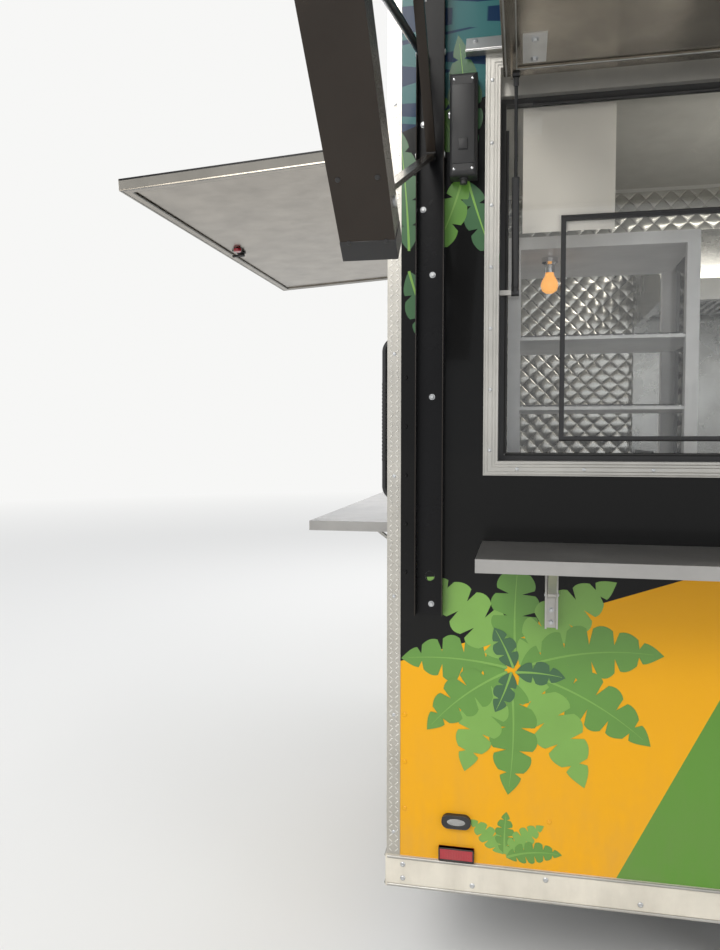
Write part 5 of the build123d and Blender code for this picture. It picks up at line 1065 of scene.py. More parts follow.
def leaf(sheets, veins, wall, root, angle, length, width, lobes, bend, layer):
    """One leaf on a wall: a notched blade along a bent rib, in its own layer so that no two share a plane."""
    edge = leaf_outline(length, width, lobes)

    def on_wall(run, side, rise=0.0):
        turn = math.radians(angle) + bend * run / length
        half_turn = math.radians(angle) + bend * run / length / 2
        x = root[0] + run * math.cos(half_turn) - side * math.sin(turn)
        z = root[1] + run * math.sin(half_turn) + side * math.cos(turn)
        return wall(x, DECAL_OUT + LAYER * layer + rise, z)

    low = [sheets.verts.new(on_wall(run - 0.16 * across, 0.0)) for run, across in edge]
    for side in (1, -1):
        high = [sheets.verts.new(on_wall(run, side * across)) for run, across in edge[1:-1]]
        for k in range(len(high) - 1):
            sheets.faces.new((low[k + 1], low[k + 2], high[k + 1], high[k]))
        sheets.faces.new((low[0], low[1], high[0]))
        sheets.faces.new((low[-2], low[-1], high[-1]))
    rib = [on_wall(run, 0.0, 0.0001) for run in spread(0.0, length * 0.93, RIB_STEPS + 1)]
    for k, (a, b) in enumerate(zip(rib, rib[1:])):
        across = (b - a).cross(wall.normal).normalized() * 0.0032 * (1.0 - k / (RIB_STEPS + 1))
        corners = (a - across, a + across, b + across * 0.9, b - across * 0.9)
        veins.faces.new([veins.verts.new(point) for point in corners])


LOW_LEAVES = (
    (0.00, 0.00, 168, 0.265, 0.120, 5, 0.35, "dark"), (0.01, 0.02, 128, 0.290, 0.125, 5, 0.30, "pale"),
    (0.02, 0.02, 94, 0.270, 0.120, 5, -0.20, "dark"), (0.03, 0.01, 56, 0.310, 0.130, 6, -0.45, "pale"),
    (0.03, 0.00, 24, 0.340, 0.140, 6, -0.55, "dark"), (0.04, -0.01, -14, 0.340, 0.135, 6, -0.50, "dark"),
    (0.03, -0.02, -48, 0.310, 0.125, 5, -0.40, "pale"), (0.01, -0.03, -84, 0.290, 0.120, 5, -0.25, "dark"),
    (0.00, -0.02, -124, 0.270, 0.115, 5, 0.40, "pale"), (0.00, -0.01, 206, 0.255, 0.110, 5, 0.45, "dark"),
    (0.015, 0.00, 110, 0.110, 0.060, 3, 0.20, "deep"), (0.020, -0.01, 5, 0.120, 0.060, 3, -0.30, "deep"),
    (0.010, -0.01, -105, 0.110, 0.055, 3, -0.20, "deep"),
)
HIGH_LEAVES = (
    (0.00, 0.00, 92, 0.300, 0.085, 5, 0.10, "deep"), (0.00, -0.02, 112, 0.250, 0.080, 5, 0.25, "dark"),
    (0.00, -0.05, -74, 0.230, 0.075, 4, 0.10, "deep"), (-0.01, -0.03, -104, 0.240, 0.075, 4, -0.30, "dark"),
)
ON_GREEN = [row[:-1] + ("deep" if row[-1] == "dark" else row[-1],) for row in LOW_LEAVES]
for name, wall, root, leaves, grow in (
        ("kerb", kerb, (0.300, 0.930), LOW_LEAVES, 1.0),
        ("kerb_low", kerb, (0.290, 0.450), LOW_LEAVES[1:5], 0.40),
        ("kerb_top", kerb, (0.196, 2.170), HIGH_LEAVES, 1.0),
        ("kerb_mid", kerb, (0.052, 1.960), HIGH_LEAVES[::2], 1.0),
        ("kerb_front", kerb, (3.170, 1.060), LOW_LEAVES, 0.85),
        ("kerb_front_low", kerb, (3.140, 0.640), LOW_LEAVES, 0.55),
        ("rear", rear, (0.330, 0.820), LOW_LEAVES, 1.0), ("rear_low", rear, (0.780, 0.640), LOW_LEAVES, 0.6),
        ("rear_far", rear, (2.250, 0.900), LOW_LEAVES, 1.0),
        ("street", street, (0.850, 0.980), LOW_LEAVES, 1.0),
        ("street_low", street, (0.420, 0.700), LOW_LEAVES, 0.6),
        ("street_front", street, (3.850, 1.040), LOW_LEAVES, 1.1),
        ("street_far", street, (4.330, 0.760), LOW_LEAVES, 0.6),
        ("front", front, (0.480, 1.180), ON_GREEN, 1.2), ("front_low", front, (0.300, 0.720), ON_GREEN, 0.7),
        ("front_far", front, (2.200, 0.900), ON_GREEN, 1.0),
):
    tones = {row[-1]: bmesh.new() for row in leaves}
    veins = bmesh.new()
    for layer, (x, z, angle, length, width, lobes, bend, tone) in enumerate(leaves):
        start = (root[0] + x * grow, root[1] + z * grow)
        leaf(tones[tone], veins, wall, start, angle, length * grow, width * grow, lobes, bend, layer)
    for tone, mesh in tones.items():
        put(f"{name}_leaves_{tone}", mesh, VINYL[tone], facing=wall.normal)
    put(f"{name}_leaves_ribs", veins, VINYL["pale"], facing=wall.normal)

# Display cabinet: enamelled sheet on corner posts, with tempered side panes and two shelves of bright wire. A
# warming lamp hangs from its top, and its knobs and screws are bright.
case_low, case_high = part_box("display_cabinet")
POST = 0.032
CASE_FRONT = case_low[1]
CASE_TOP = case_high[2] - POST
LAMP_X = (case_low[0] + case_high[0]) / 2 - 0.130
LAMP_Y = CASE_FRONT + 0.110
panes, wires, knobs, bulb = fresh(4)
for x in (case_low[0] + 0.006, case_high[0] - 0.006):
    brick(panes, (x - 0.0015, CASE_FRONT + POST, case_low[2] + 0.062),
          (x + 0.0015, case_high[1] - POST, CASE_TOP))
for z in (case_low[2] + 0.2095, case_low[2] + 0.3945):
    for x in spread(case_low[0] + 0.040, case_high[0] - 0.040, 15):
        bar(wires, (x, CASE_FRONT + 0.012, z), (x, case_high[1] - 0.012, z), 0.0016, 6)
    for y in (CASE_FRONT + 0.020, case_high[1] - 0.020):
        bar(wires, (case_low[0] + 0.036, y, z + 0.0022), (case_high[0] - 0.036, y, z + 0.0022), 0.0024, 8)
knob(knobs, (LAMP_X, LAMP_Y, CASE_TOP - 0.002), -UP,
     ((0.022, 0.0), (0.022, 0.012), (0.014, 0.018), (0.014, 0.040)), 18)
knob(bulb, (LAMP_X, LAMP_Y, CASE_TOP - 0.042), -UP,
     ((0.011, 0.0), (0.013, 0.008), (0.021, 0.022), (0.024, 0.034), (0.020, 0.048), (0.010, 0.055),
      (0.0, 0.057)), 20)
for x, side in ((case_low[0] + 0.0005, -1), (case_high[0] - 0.0005, 1)):
    for y in (CASE_FRONT + 0.016, case_high[1] - 0.016):
        for z in (case_low[2] + 0.025, case_high[2] - 0.016):
            pan_screw(knobs, (x, y, z), (side, 0, 0), 0.0040, 0.0016)
for along in (0.120, 0.180, 0.240):
    knob(knobs, (case_low[0] + along, CASE_FRONT, case_low[2] + 0.030), (0, -1, 0),
         ((0.014, 0.0), (0.012, 0.010)), 14)
put("cabinet_panes", panes, GLASS)
put("cabinet_wires", wires, CHROME, 40)
put("cabinet_fittings", knobs, CHROME, 35)
put("cabinet_bulb", bulb, AMBER, 60)

# Counter: stainless sheet folded over a frame, its front and back edges rolled. It stands on moulded feet
# that screw up and down.
top_low, top_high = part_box("counter")
FOOT = ((0.028, 0.0), (0.028, 0.006), (0.022, 0.022), (0.022, 0.045))
edge, feet = fresh(2)
for y in (top_low[1] + 0.001, top_high[1] - 0.001):
    for z in (top_high[2] - 0.0015, top_high[2] - 0.0385):
        bar(edge, (top_low[0] + 0.001, y, z), (top_high[0] - 0.001, y, z), 0.0018, 8)
for x in spread(top_low[0] + 0.020, top_high[0] - 0.020, 3):
    knob(feet, (x, top_high[1] - 0.020, top_low[2] + 0.0005), UP, FOOT, 14)
put("counter_edges", edge, STAINLESS, 40)
put("counter_feet", feet, BLACK_PLASTIC, 35)

# Cooking line: stainless bays with handled doors and black knobs, under a cast griddle, four open burners
# with bar grates and twin fryer wells. The hood over them holds five baffle filters and two lamps.
cook_low, cook_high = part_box("cooking_line")
COOK_TOP = 1.364
COOK_FACE = STREET_Y - 0.779
HANDLE_Z = COOK_TOP - 0.140
COOK_KNOB = ((0.030, 0.0), (0.030, 0.003), (0.021, 0.006), (0.018, 0.028))
BURNER = ((0.050, 0.0), (0.046, 0.014), (0.022, 0.020))
GRATE_HALF = 0.132
HOOD_LOW = 2.080
HOOD_FACE = HOOD_LOW + 0.059
bays_x = [cook_low[0] + share * (cook_high[0] - cook_low[0]) for share in (0.0, 0.36, 0.66, 1.0)]
griddle, burners, fryers, right = bays_x
knobs, plates, grates, doors, hood, hood_lamps = fresh(6)
for low, high in zip(bays_x, bays_x[1:]):
    for k in range(4):
        x = low + (k + 0.5) * (high - low) / 4
        knob(knobs, (x, COOK_FACE, COOK_TOP - 0.060), (0, -1, 0), COOK_KNOB)
        brick(knobs, (x - 0.003, COOK_FACE - 0.034, COOK_TOP - 0.078),
              (x + 0.003, COOK_FACE - 0.024, COOK_TOP - 0.042), 0.0015, 1)
    brick(doors, (low + 0.012, COOK_FACE - 0.004, 1.020), (high - 0.012, COOK_FACE + 0.002, COOK_TOP - 0.112),
          0.002, 1)
    bar(doors, (low + 0.080, COOK_FACE - 0.026, HANDLE_Z), (high - 0.080, COOK_FACE - 0.026, HANDLE_Z), 0.007)
    for x in (low + 0.090, high - 0.090):
        bar(doors, (x, COOK_FACE, HANDLE_Z), (x, COOK_FACE - 0.026, HANDLE_Z), 0.005, 10)
brick(plates, (griddle + 0.020, COOK_FACE + 0.090, COOK_TOP - 0.001),
      (burners - 0.020, COOK_FACE + 0.620, COOK_TOP + 0.014), 0.004)
for x in (griddle + 0.012, burners - 0.020):
    brick(plates, (x, COOK_FACE + 0.060, COOK_TOP), (x + 0.008, COOK_FACE + 0.630, COOK_TOP + 0.070),
          0.002, 1)
for share in (0.25, 0.75):
    for y in (COOK_FACE + 0.210, COOK_FACE + 0.500):
        x = burners + share * (fryers - burners)
        knob(grates, (x, y, COOK_TOP - 0.0005), UP, BURNER, 18)
        for a, b in zip(circle((x, y, COOK_TOP + 0.032), 0.030, 8),
                        circle((x, y, COOK_TOP + 0.032), 0.125, 8)):
            bar(grates, a, b, 0.0050, 6)
        corners = [Vector((x + a * GRATE_HALF, y + b * GRATE_HALF, COOK_TOP + 0.030))
                   for a, b in ((-1, -1), (1, -1), (1, 1), (-1, 1))]
        chain(grates, corners, 0.0058, 6, closed=True)
        for corner in corners:
            bar(grates, corner - UP * 0.030, corner, 0.0058, 6)
well = (right - fryers - 0.060) / 2
for low in (fryers + 0.050, fryers + 0.050 + well):
    high = low + well - 0.040
    for a, b, c, d in rim(low, high, 0.120, 0.560, 0.012):
        brick(plates, (a, COOK_FACE + c, COOK_TOP), (b, COOK_FACE + d, COOK_TOP + 0.034), 0.003, 1)
    for x in spread(low + 0.030, high - 0.030, 9):
        bar(grates, (x, COOK_FACE + 0.140, COOK_TOP + 0.020), (x, COOK_FACE + 0.540, COOK_TOP + 0.020),
            0.0022, 6)
    x = (low + high) / 2
    bar(grates, (x, COOK_FACE + 0.140, COOK_TOP + 0.052), (x, COOK_FACE + 0.020, COOK_TOP + 0.075),
        0.0060, 10)
for k in range(5):
    low = cook_low[0] + 0.060 + k * 0.520
    for step in range(12):
        x = low + 0.020 + step * 0.038
        brick(hood, (x, COOK_FACE + 0.140, HOOD_LOW + 0.048), (x + 0.018, COOK_FACE + 0.560, HOOD_FACE))
    for y in (COOK_FACE + 0.125, COOK_FACE + 0.560):
        brick(hood, (low, y, HOOD_LOW + 0.044), (low + 0.480, y + 0.015, HOOD_FACE), 0.002, 1)
for share in (0.25, 0.75):
    x = cook_low[0] + share * (cook_high[0] - cook_low[0])
    brick(hood_lamps, (x - 0.120, COOK_FACE - 0.060, HOOD_LOW + 0.036),
          (x + 0.120, COOK_FACE - 0.010, HOOD_FACE), 0.008, 3)
put("cooking_knobs", knobs, BLACK_PLASTIC, 40)
put("cooking_plates", plates, CHASSIS, 35)
put("cooking_grates", grates, CHASSIS, 40)
put("cooking_doors", doors, STAINLESS, 40)
put("hood_filters", hood, STAINLESS, 35)
put("hood_lamps", hood_lamps, PAPER, 40)

# Tyres: black rubber moulded with grooved tread blocks, shoulder slots, rings on the sidewall and a rim
# guard. They take the place of the plain CAD tyres.
TYRE_R = 0.3445
TYRE_STEPS = 132
TREAD_RUBBER = surface("tyre rubber", (0.026, 0.025, 0.024), 0.68, 0.0, 0.14, 0.75, (0.02, 0.72),
                       (420.0, 0.5))
SIDE_PROFILE = (
    (0.0700, 0.1906), (0.0860, 0.2020), (0.0872, 0.2080), (0.0905, 0.2110), (0.0930, 0.2180),
    (0.0978, 0.2350),
    (0.0990, 0.2400), (0.1000, 0.2410), (0.1008, 0.2560), (0.1008, 0.2680), (0.0994, 0.2860),
    (0.0984, 0.2900), (0.0974, 0.2910), (0.0950, 0.3060), (0.0900, 0.3210), (0.0850, 0.3300),
)
TREAD_Y = (0.0800, 0.0740, 0.0560, 0.0545, 0.0480, 0.0465, 0.0260, 0.0245, 0.0180, 0.0165, 0.0)
GROOVES = ((0.0545, 0.0480), (0.0245, 0.0180))
GROOVE_DEPTH = 0.0065
# Slots across the ribs: (further from the middle than, depth, step of four on the +Y side, and on the other)
SLOTS = ((0.0550, 0.0055, 0, 2), (0.0250, 0.0045, 1, 3))


def tread_radius(y, step):
    """The radius of the tread, cut by its grooves and slots."""
    radius = TYRE_R - 0.0092 * (abs(y) / 0.082) ** 2
    if any(inner <= abs(y) <= outer for outer, inner in GROOVES):
        return radius - GROOVE_DEPTH
    for beyond, depth, street_step, kerb_step in SLOTS:
        if abs(y) > beyond:
            return radius - (depth if step % 4 == (street_step if y > 0 else kerb_step) else 0.0)
    return radius


def tyre_mesh(centre):
    """One tyre about the y axis: profile points turned in steps."""
    half = list(SIDE_PROFILE) + [(y, None) for y in TREAD_Y]
    full = half + [(-y, radius) for y, radius in reversed(half[:-1])]
    mesh = bmesh.new()
    rings = []
    for step in range(TYRE_STEPS):
        turn = math.tau * step / TYRE_STEPS
        ring = []
        for y, radius in full:
            if radius is None:
                radius = tread_radius(y, step)
            elif radius > 0.300 and step % 4 == (0 if y > 0 else 2):
                y *= 0.985
            spot = Vector((radius * math.sin(turn), y, radius * math.cos(turn)))
            ring.append(mesh.verts.new(centre + spot))
        rings.append(ring)
    for first, second in zip(rings, rings[1:] + rings[:1]):
        for k in range(len(full)):
            after = (k + 1) % len(full)
            mesh.faces.new((first[k], first[after], second[after], second[k]))
    return mesh


for name in WHEELS:
    low, high = (Vector(corner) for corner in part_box(f"tyre_{name}"))
    centre = Vector(((low.x + high.x) / 2, (low.y + high.y) / 2, TYRE_R))
    made = put(f"tyre_tread_{name}", tyre_mesh(centre), TREAD_RUBBER, 32, f"wheel_{name}")
    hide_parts(f"tyre_{name}")

# Wheels: pressed steel painted white, on six studs with bright lug nuts. A grease cap with a rubber plug is
# pressed in the hub, and the backing plate behind each wheel stands still.
GREASE_CAP = ((0.0255, 0.0), (0.0255, 0.0090), (0.0230, 0.0110), (0.0120, 0.0112))
PLUG = ((0.0100, 0.0), (0.0090, 0.0010))
RIM_BEAD = ((0.1795, 0.0), (0.1900, 0.0), (0.1903, 0.0035), (0.1880, 0.0048), (0.1840, 0.0040), (0.1795, 0.0))
HUB_BEAD = ((0.0690, 0.0), (0.0740, 0.0), (0.0720, 0.0028), (0.0690, 0.0))
BACKING = ((0.0215, 0.0), (0.1380, 0.0), (0.1420, 0.0030), (0.1380, 0.0045), (0.0215, 0.0045), (0.0215, 0.0))
for name in WHEELS:
    low, high = (Vector(corner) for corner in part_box(f"wheel_{name}"))
    side = -1.0 if name.startswith("kerb") else 1.0
    axis = Vector((0, side, 0))
    centre = Vector(((low.x + high.x) / 2, (low.y + high.y) / 2, TYRE_R))
    body = f"wheel_{name}"

    def on_wheel(depth, radius=0.0, turn=0.0):
        """A point of the wheel: outward from its middle plane, and radius and angle about the axle."""
        return centre + axis * depth + Vector((radius * math.sin(turn), 0, radius * math.cos(turn)))

    nuts, cap, beads, rubber, plate = fresh(5)
    for k in range(6):
        spot = on_wheel(0.0440, 0.0592, math.tau * (k + 0.5) / 6)
        hex_bolt(nuts, spot, axis, 0.0125, 0.0110, False)
        bar(nuts, spot, spot + axis * 0.0165, 0.0034, 8)
    knob(cap, on_wheel(0.0480), axis, GREASE_CAP, 24)
    knob(rubber, on_wheel(0.0590), axis, PLUG, 18)
    lathe(beads, on_wheel(0.0660), axis, RIM_BEAD, 64)
    lathe(beads, on_wheel(0.0375), axis, HUB_BEAD, 48)
    stem = on_wheel(0.0230, 0.1500, math.tau / 12)
    bar(rubber, stem, stem + axis * 0.020, 0.0055, 10)
    bar(nuts, stem + axis * 0.020, stem + axis * 0.032, 0.0038, 8)
    put(f"lug_nuts_{name}", nuts, CHROME, 30, body)
    put(f"grease_cap_{name}", cap, CHROME, 40, body)
    put(f"rim_bead_{name}", beads, WHEEL_PAINT, 40, body)
    put(f"wheel_rubber_{name}", rubber, RUBBER, 40, body)
    lathe(plate, on_wheel(-0.0590), -axis, BACKING, 40)
    put(f"backing_plate_{name}", plate, CHASSIS, 35)

# Wheel arch trims: tread plate bent round the opening and fixed with pop rivets. A rubber bead is pushed over
# the lip.
ARCH_TOP = 0.786
ARCH_R = 0.260
rivets, bead = fresh(2)


def arch_path(grow, count):
    """Points along the wheel opening's outline, (along, height): up, round, across, round and down."""
    low, high, top = ARCH[0] - grow, ARCH[1] + grow, ARCH_TOP + grow
    radius = ARCH_R + grow
    rise = top - radius - RAIL_TOP
    bend = rise + radius * math.pi / 2
    whole = 2 * bend + high - low - 2 * radius
    points = []
    for run in spread(0.0, whole, count + 1):
        back = min(run, whole - run)
        turn = min(max(back - rise, 0.0) / radius, math.pi / 2)
        shift = radius * (1.0 - math.cos(turn)) + max(back - bend, 0.0)
        z = RAIL_TOP + min(back, rise) + radius * math.sin(turn)
        points.append((low + shift if run < whole / 2 else high - shift, z))
    return points


for wall in SIDES:
    for along, z in arch_path(0.030, 26)[1:-1]:
        pan_screw(rivets, wall(along, 0.003, z), wall.normal, 0.0050, 0.0020)
    chain(bead, [wall(along, 0.0325, z) for along, z in arch_path(0.0016, 72)], 0.0026, 6)
put("flare_rivets", rivets, ZINC, 30)
put("flare_beads", bead, RUBBER, 60)

# Chassis: welded channels, with the axles' hangers and the stabilisers fixed by plated bolts. Each drop leg
# has height holes and is held by a steel pin.
leg_low, leg_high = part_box("stabilisers")
leg_x = (leg_low[0] + leg_high[0]) / 2
LEG_PIN_Z = 0.205
bolts, pins = fresh(2)
for name in ("kerb_rear", "kerb_front"):
    low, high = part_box(f"wheel_{name}")
    tube_x = (low[0] + high[0]) / 2 + 0.144
    for side in (-1, 1):
        for shift in (-0.085, -0.055, 0.055, 0.085):
            hex_bolt(bolts, (tube_x + shift, MID_Y + side * 0.910, 0.303), (0, side, 0), 0.016, 0.008)
for side in (-1, 1):
    y = MID_Y + side * 1.010
    for z in (0.060, 0.095, 0.130):
        knob(pins, (leg_x - 0.0226, y, z), (-1, 0, 0), ((0.0065, 0.0), (0.0050, 0.0004)), 12)
    bar(pins, (leg_x - 0.046, y, LEG_PIN_Z), (leg_x + 0.046, y, LEG_PIN_Z), 0.0060)
    knob(pins, (leg_x - 0.046, y, LEG_PIN_Z), (-1, 0, 0), ((0.0115, 0.0), (0.0115, 0.004)), 14)
    for x in (leg_x - 0.020, leg_x + 0.020):
        hex_bolt(bolts, (x, MID_Y + side * 0.950, 0.313), -UP, 0.014, 0.007)
put("chassis_bolts", bolts, ZINC, 30)
put("leg_pins", pins, ZINC, 35)

# Tongue: welded tubes with the coupler and the jack bolted on top. The jack's crank has a ribbed black grip,
# and a moulded collar sits round its tube.
jack_low, jack_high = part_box("tongue_jack")
jack_x = (jack_low[0] + jack_high[0]) / 2
coupler_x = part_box("coupler")[0][0]
GRIP_RIB = ((0.0131, 0.0), (0.0142, 0.0020), (0.0142, 0.0085), (0.0131, 0.0105))
JACK_COLLAR = ((0.0343, 0.0), (0.0352, 0.003), (0.0352, 0.020), (0.0343, 0.0235))
fits, grips = fresh(2)
for spot in circle((jack_x, MID_Y, 0.4443), 0.036, 4, math.tau / 8):
    hex_bolt(fits, spot, UP, 0.010, 0.006)
for x in (coupler_x + 0.035, coupler_x + 0.085):
    for side in (-1, 1):
        hex_bolt(fits, (x, MID_Y + side * 0.046, 0.458), (0, side, 0), 0.016, 0.008)
bar(fits, (coupler_x + 0.075, MID_Y - 0.019, 0.500), (coupler_x + 0.075, MID_Y + 0.019, 0.500), 0.0050)
for k in range(6):
    lathe(grips, (jack_x, MID_Y + 0.142, 0.982 + k * 0.0135), UP, GRIP_RIB)
lathe(grips, (jack_x, MID_Y, 0.9300), UP, JACK_COLLAR, 24)
put("tongue_bolts", fits, ZINC, 30)
put("jack_grips", grips, BLACK_PLASTIC, 40)

# Gas bottles: pressed steel shells welded round the middle, with brass valves and red handwheels. A plated
# clamp on a threaded rod between them holds both down in their tray.
gas_low, gas_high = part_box("gas_bottles")
gas_x = (gas_low[0] + gas_high[0]) / 2
GAS_BASE = gas_low[2]
VALVE_TOP = GAS_BASE + 0.540
OUTLET_Z = VALVE_TOP - 0.030
WELD = ((0.1499, 0.0), (0.1508, 0.0015), (0.1508, 0.0045), (0.1499, 0.0060))
VALVE = ((0.0150, 0.0), (0.0120, 0.010), (0.0060, 0.014))
welds, brass, wheels, clamp = fresh(4)
for side in (-1, 1):
    y = MID_Y + side * 0.175
    hub = Vector((gas_x, y, VALVE_TOP + 0.0115))
    outlet = (gas_x, y - side * 0.034, OUTLET_Z)
    lathe(welds, (gas_x, y, GAS_BASE + 0.222), UP, WELD, 48)
    knob(brass, (gas_x, y, VALVE_TOP), UP, VALVE)
    bar(brass, (gas_x, y, OUTLET_Z), outlet, 0.0095)
    hex_bolt(brass, outlet, (0, -side, 0), 0.024, 0.016, False)
    ring = circle(hub, 0.022, 12)
    chain(wheels, ring, 0.0042, 8, closed=True)
    for point in ring[::3]:
        bar(wheels, hub, point, 0.0032, 6)
bar(clamp, (gas_x, MID_Y, GAS_BASE), (gas_x, MID_Y, GAS_BASE + 0.530), 0.0070)
hex_bolt(clamp, (gas_x, MID_Y, GAS_BASE + 0.528), UP, 0.022, 0.014)
knob(clamp, (gas_x, MID_Y, GAS_BASE + 0.001), UP, ((0.016, 0.0), (0.016, 0.012)), 14)
brick(clamp, (gas_x - 0.020, MID_Y - 0.070, GAS_BASE + 0.505),
      (gas_x + 0.020, MID_Y + 0.070, GAS_BASE + 0.511), 0.0015, 1)
put("bottle_welds", welds, BOTTLE_PAINT, 40)
put("bottle_valves", brass, BRASS, 35)
put("bottle_handwheels", wheels, RED_LENS, 45)
put("bottle_clamp", clamp, ZINC, 35)

# Roof: coated sheets, their seams under sealant tape, screwed down along the edge trim. The vent is spun
# aluminium with two bands, and is bolted at its hood and its base.
ROOF_EDGE = 2.880
CROWN = 0.038
SEAM_HALF = 0.030
VENT_Z = 2.990
VENT_HALF = 0.290
BAND = ((0.3160, 0.0), (0.3192, 0.0012), (0.3192, 0.0040), (0.3160, 0.0052))
vent_low, vent_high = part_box("roof_vent")
vent_x, vent_y = (vent_low[0] + vent_high[0]) / 2, (vent_low[1] + vent_high[1]) / 2
seams, screws, bands, heads = fresh(4)


def on_roof(along, across):
    """A point just above the roof's skin."""
    share = 2 * across / WIDTH - 1
    return Vector((REAR_X + along, KERB_Y + across, ROOF_EDGE + CROWN * (1.0 - share * share) + 0.0008))


for along in (1.22, 2.44, 3.66):
    marks = spread(0.004, WIDTH - 0.004, 25)
    sides = [[seams.verts.new(on_roof(x, y)) for y in marks] for x in (along - SEAM_HALF, along + SEAM_HALF)]
    for k in range(len(marks) - 1):
        seams.faces.new((sides[0][k], sides[1][k], sides[1][k + 1], sides[0][k + 1]))
put("roof_seams", seams, SEALANT, 30, facing=UP)
for wall in WALLS:
    for along in spread(0.04, wall.length - 0.04, int(wall.length / 0.16) + 1):
        pan_screw(screws, wall(along, 0.005, 2.850), wall.normal, 0.0052, 0.0024)
put("roof_trim_screws", screws, ZINC, 30)
for z in (VENT_Z + 0.062, VENT_Z + 0.090):
    lathe(bands, (vent_x, vent_y, z), UP, BAND, 56)
hub = Vector((vent_x, vent_y, VENT_Z + 0.076))
for spot in circle(hub, 0.3188, 8):
    hex_bolt(heads, spot, spot - hub, 0.012, 0.006)
for normal in circle((0, 0, 0), 1.0, 4):
    for shift in (-0.22, -0.07, 0.07, 0.22):
        spot = Vector((vent_x, vent_y, 2.955)) + normal * VENT_HALF + normal.cross(UP) * shift
        hex_bolt(heads, spot, normal, 0.010, 0.005)
put("vent_bands", bands, SHADED_ALUMINIUM, 40)
put("vent_bolts", heads, ZINC, 30)

# Entry door: white enamelled sheet with a beaded panel above and a screwed stainless kick plate below. It
# hangs on three screwed hinges in a rubber gasket, and has a lever's rosette and key cylinder.
DOOR_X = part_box("entry_door")[0][0] - REAR_X
DOOR_END = DOOR_X + 0.803
DOOR_LOW, DOOR_HIGH = 0.455, 2.345
DOOR_SKIN = 0.006
KICK_OUT = DOOR_SKIN + 0.0012
LEVER_X, LEVER_Z, LEVER_OUT = DOOR_X + 0.055, 1.450, DOOR_SKIN + 0.010
ROSETTE = ((0.0, 0.0), (0.020, 0.0), (0.018, 0.004), (0.0115, 0.006))
CYLINDER = ((0.0100, 0.0), (0.0100, 0.005), (0.0070, 0.0065))
gasket, metal, panel = fresh(3)
for x in (DOOR_X - 0.0024, DOOR_END + 0.0024):
    bar(gasket, kerb(x, 0.0035, DOOR_LOW), kerb(x, 0.0035, DOOR_HIGH), 0.0022, 8)
bar(gasket, kerb(DOOR_X, 0.0035, DOOR_HIGH + 0.0024), kerb(DOOR_END, 0.0035, DOOR_HIGH + 0.0024), 0.0022, 8)
put("door_gasket", gasket, RUBBER, 50)
brick(metal, kerb(DOOR_X + 0.030, DOOR_SKIN, 0.465), kerb(DOOR_END - 0.030, KICK_OUT, 0.655), 0.0004, 1)
heads = [(DOOR_X + 0.045 + k * 0.1426, KICK_OUT, z, 0.0046, 0.0018) for z in (0.480, 0.640) for k in range(6)]
heads += [(LEVER_X, LEVER_OUT, LEVER_Z + shift, 0.0046, 0.0020) for shift in (-0.058, 0.058)]
for z in (0.716, 1.400, 2.084):
    heads += [(DOOR_END - shift, 0.016, z, 0.0042, 0.0018) for shift in (0.015, 0.038)]
    heads += [(DOOR_END + shift, 0.016, z + rise, 0.0036, 0.0016)
              for shift in (0.014, 0.022) for rise in (-0.033, 0.033)]
for along, out, z, radius, rise in heads:
    pan_screw(metal, kerb(along, out, z), kerb.normal, radius, rise)
lathe(metal, kerb(LEVER_X, LEVER_OUT, LEVER_Z), kerb.normal, ROSETTE, 20)
knob(metal, kerb(LEVER_X, LEVER_OUT, LEVER_Z - 0.038), kerb.normal, CYLINDER)
put("door_metal", metal, STAINLESS, 35, "entry_door")
chain(panel, rectangle(kerb, (DOOR_X + 0.155, 1.600), (DOOR_END - 0.155, 2.190), 0.0045), 0.0030, 8,
      closed=True)
put("door_panel_beads", panel, SHADED_ALUMINIUM, 40, "entry_door")

# Awning canopy: coated cloth drawn flat between the wall rail and the roller, where it sags a little. A hem
# is sewn down each side, and a moulded cap closes each end of the roller.
CLOTH_COLUMNS, CLOTH_ROWS = 60, 26
SAG = 0.008
PULL = 0.0012
ROLLER_CAP = ((0.0375, 0.0), (0.0375, 0.003), (0.0300, 0.006), (0.0180, 0.007), (0.0180, 0.012))
cloth_low, cloth_high = (Vector(corner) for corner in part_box("awning_fabric"))
roller_low, roller_high = (Vector(corner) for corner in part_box("awning_roller"))
start_y, end_y = cloth_high.y - 0.0005, cloth_low.y + 0.0010
start_z, end_z = cloth_high.z - 0.004, cloth_low.z + 0.0015
cloth_width = cloth_high.x - cloth_low.x - 0.004


def drawn(x, v, sag):
    """A point of the cloth: v goes from the wall rail to the roller."""
    drop = sag * math.sin(math.pi * v)
    return Vector((x, start_y + (end_y - start_y) * v, start_z + (end_z - start_z) * v - drop))


def canopy_spot(u, v):
    """A point of the canopy, held off the lowest edge of the CAD's own cloth."""
    sag = SAG * (0.55 + 0.45 * math.sin(math.pi * u)) - PULL * math.sin(math.tau * 5 * u)
    spot = drawn(cloth_low.x + 0.002 + u * cloth_width, v, sag)
    spot.z = max(cloth_low.z + 0.0006, spot.z)
    return spot


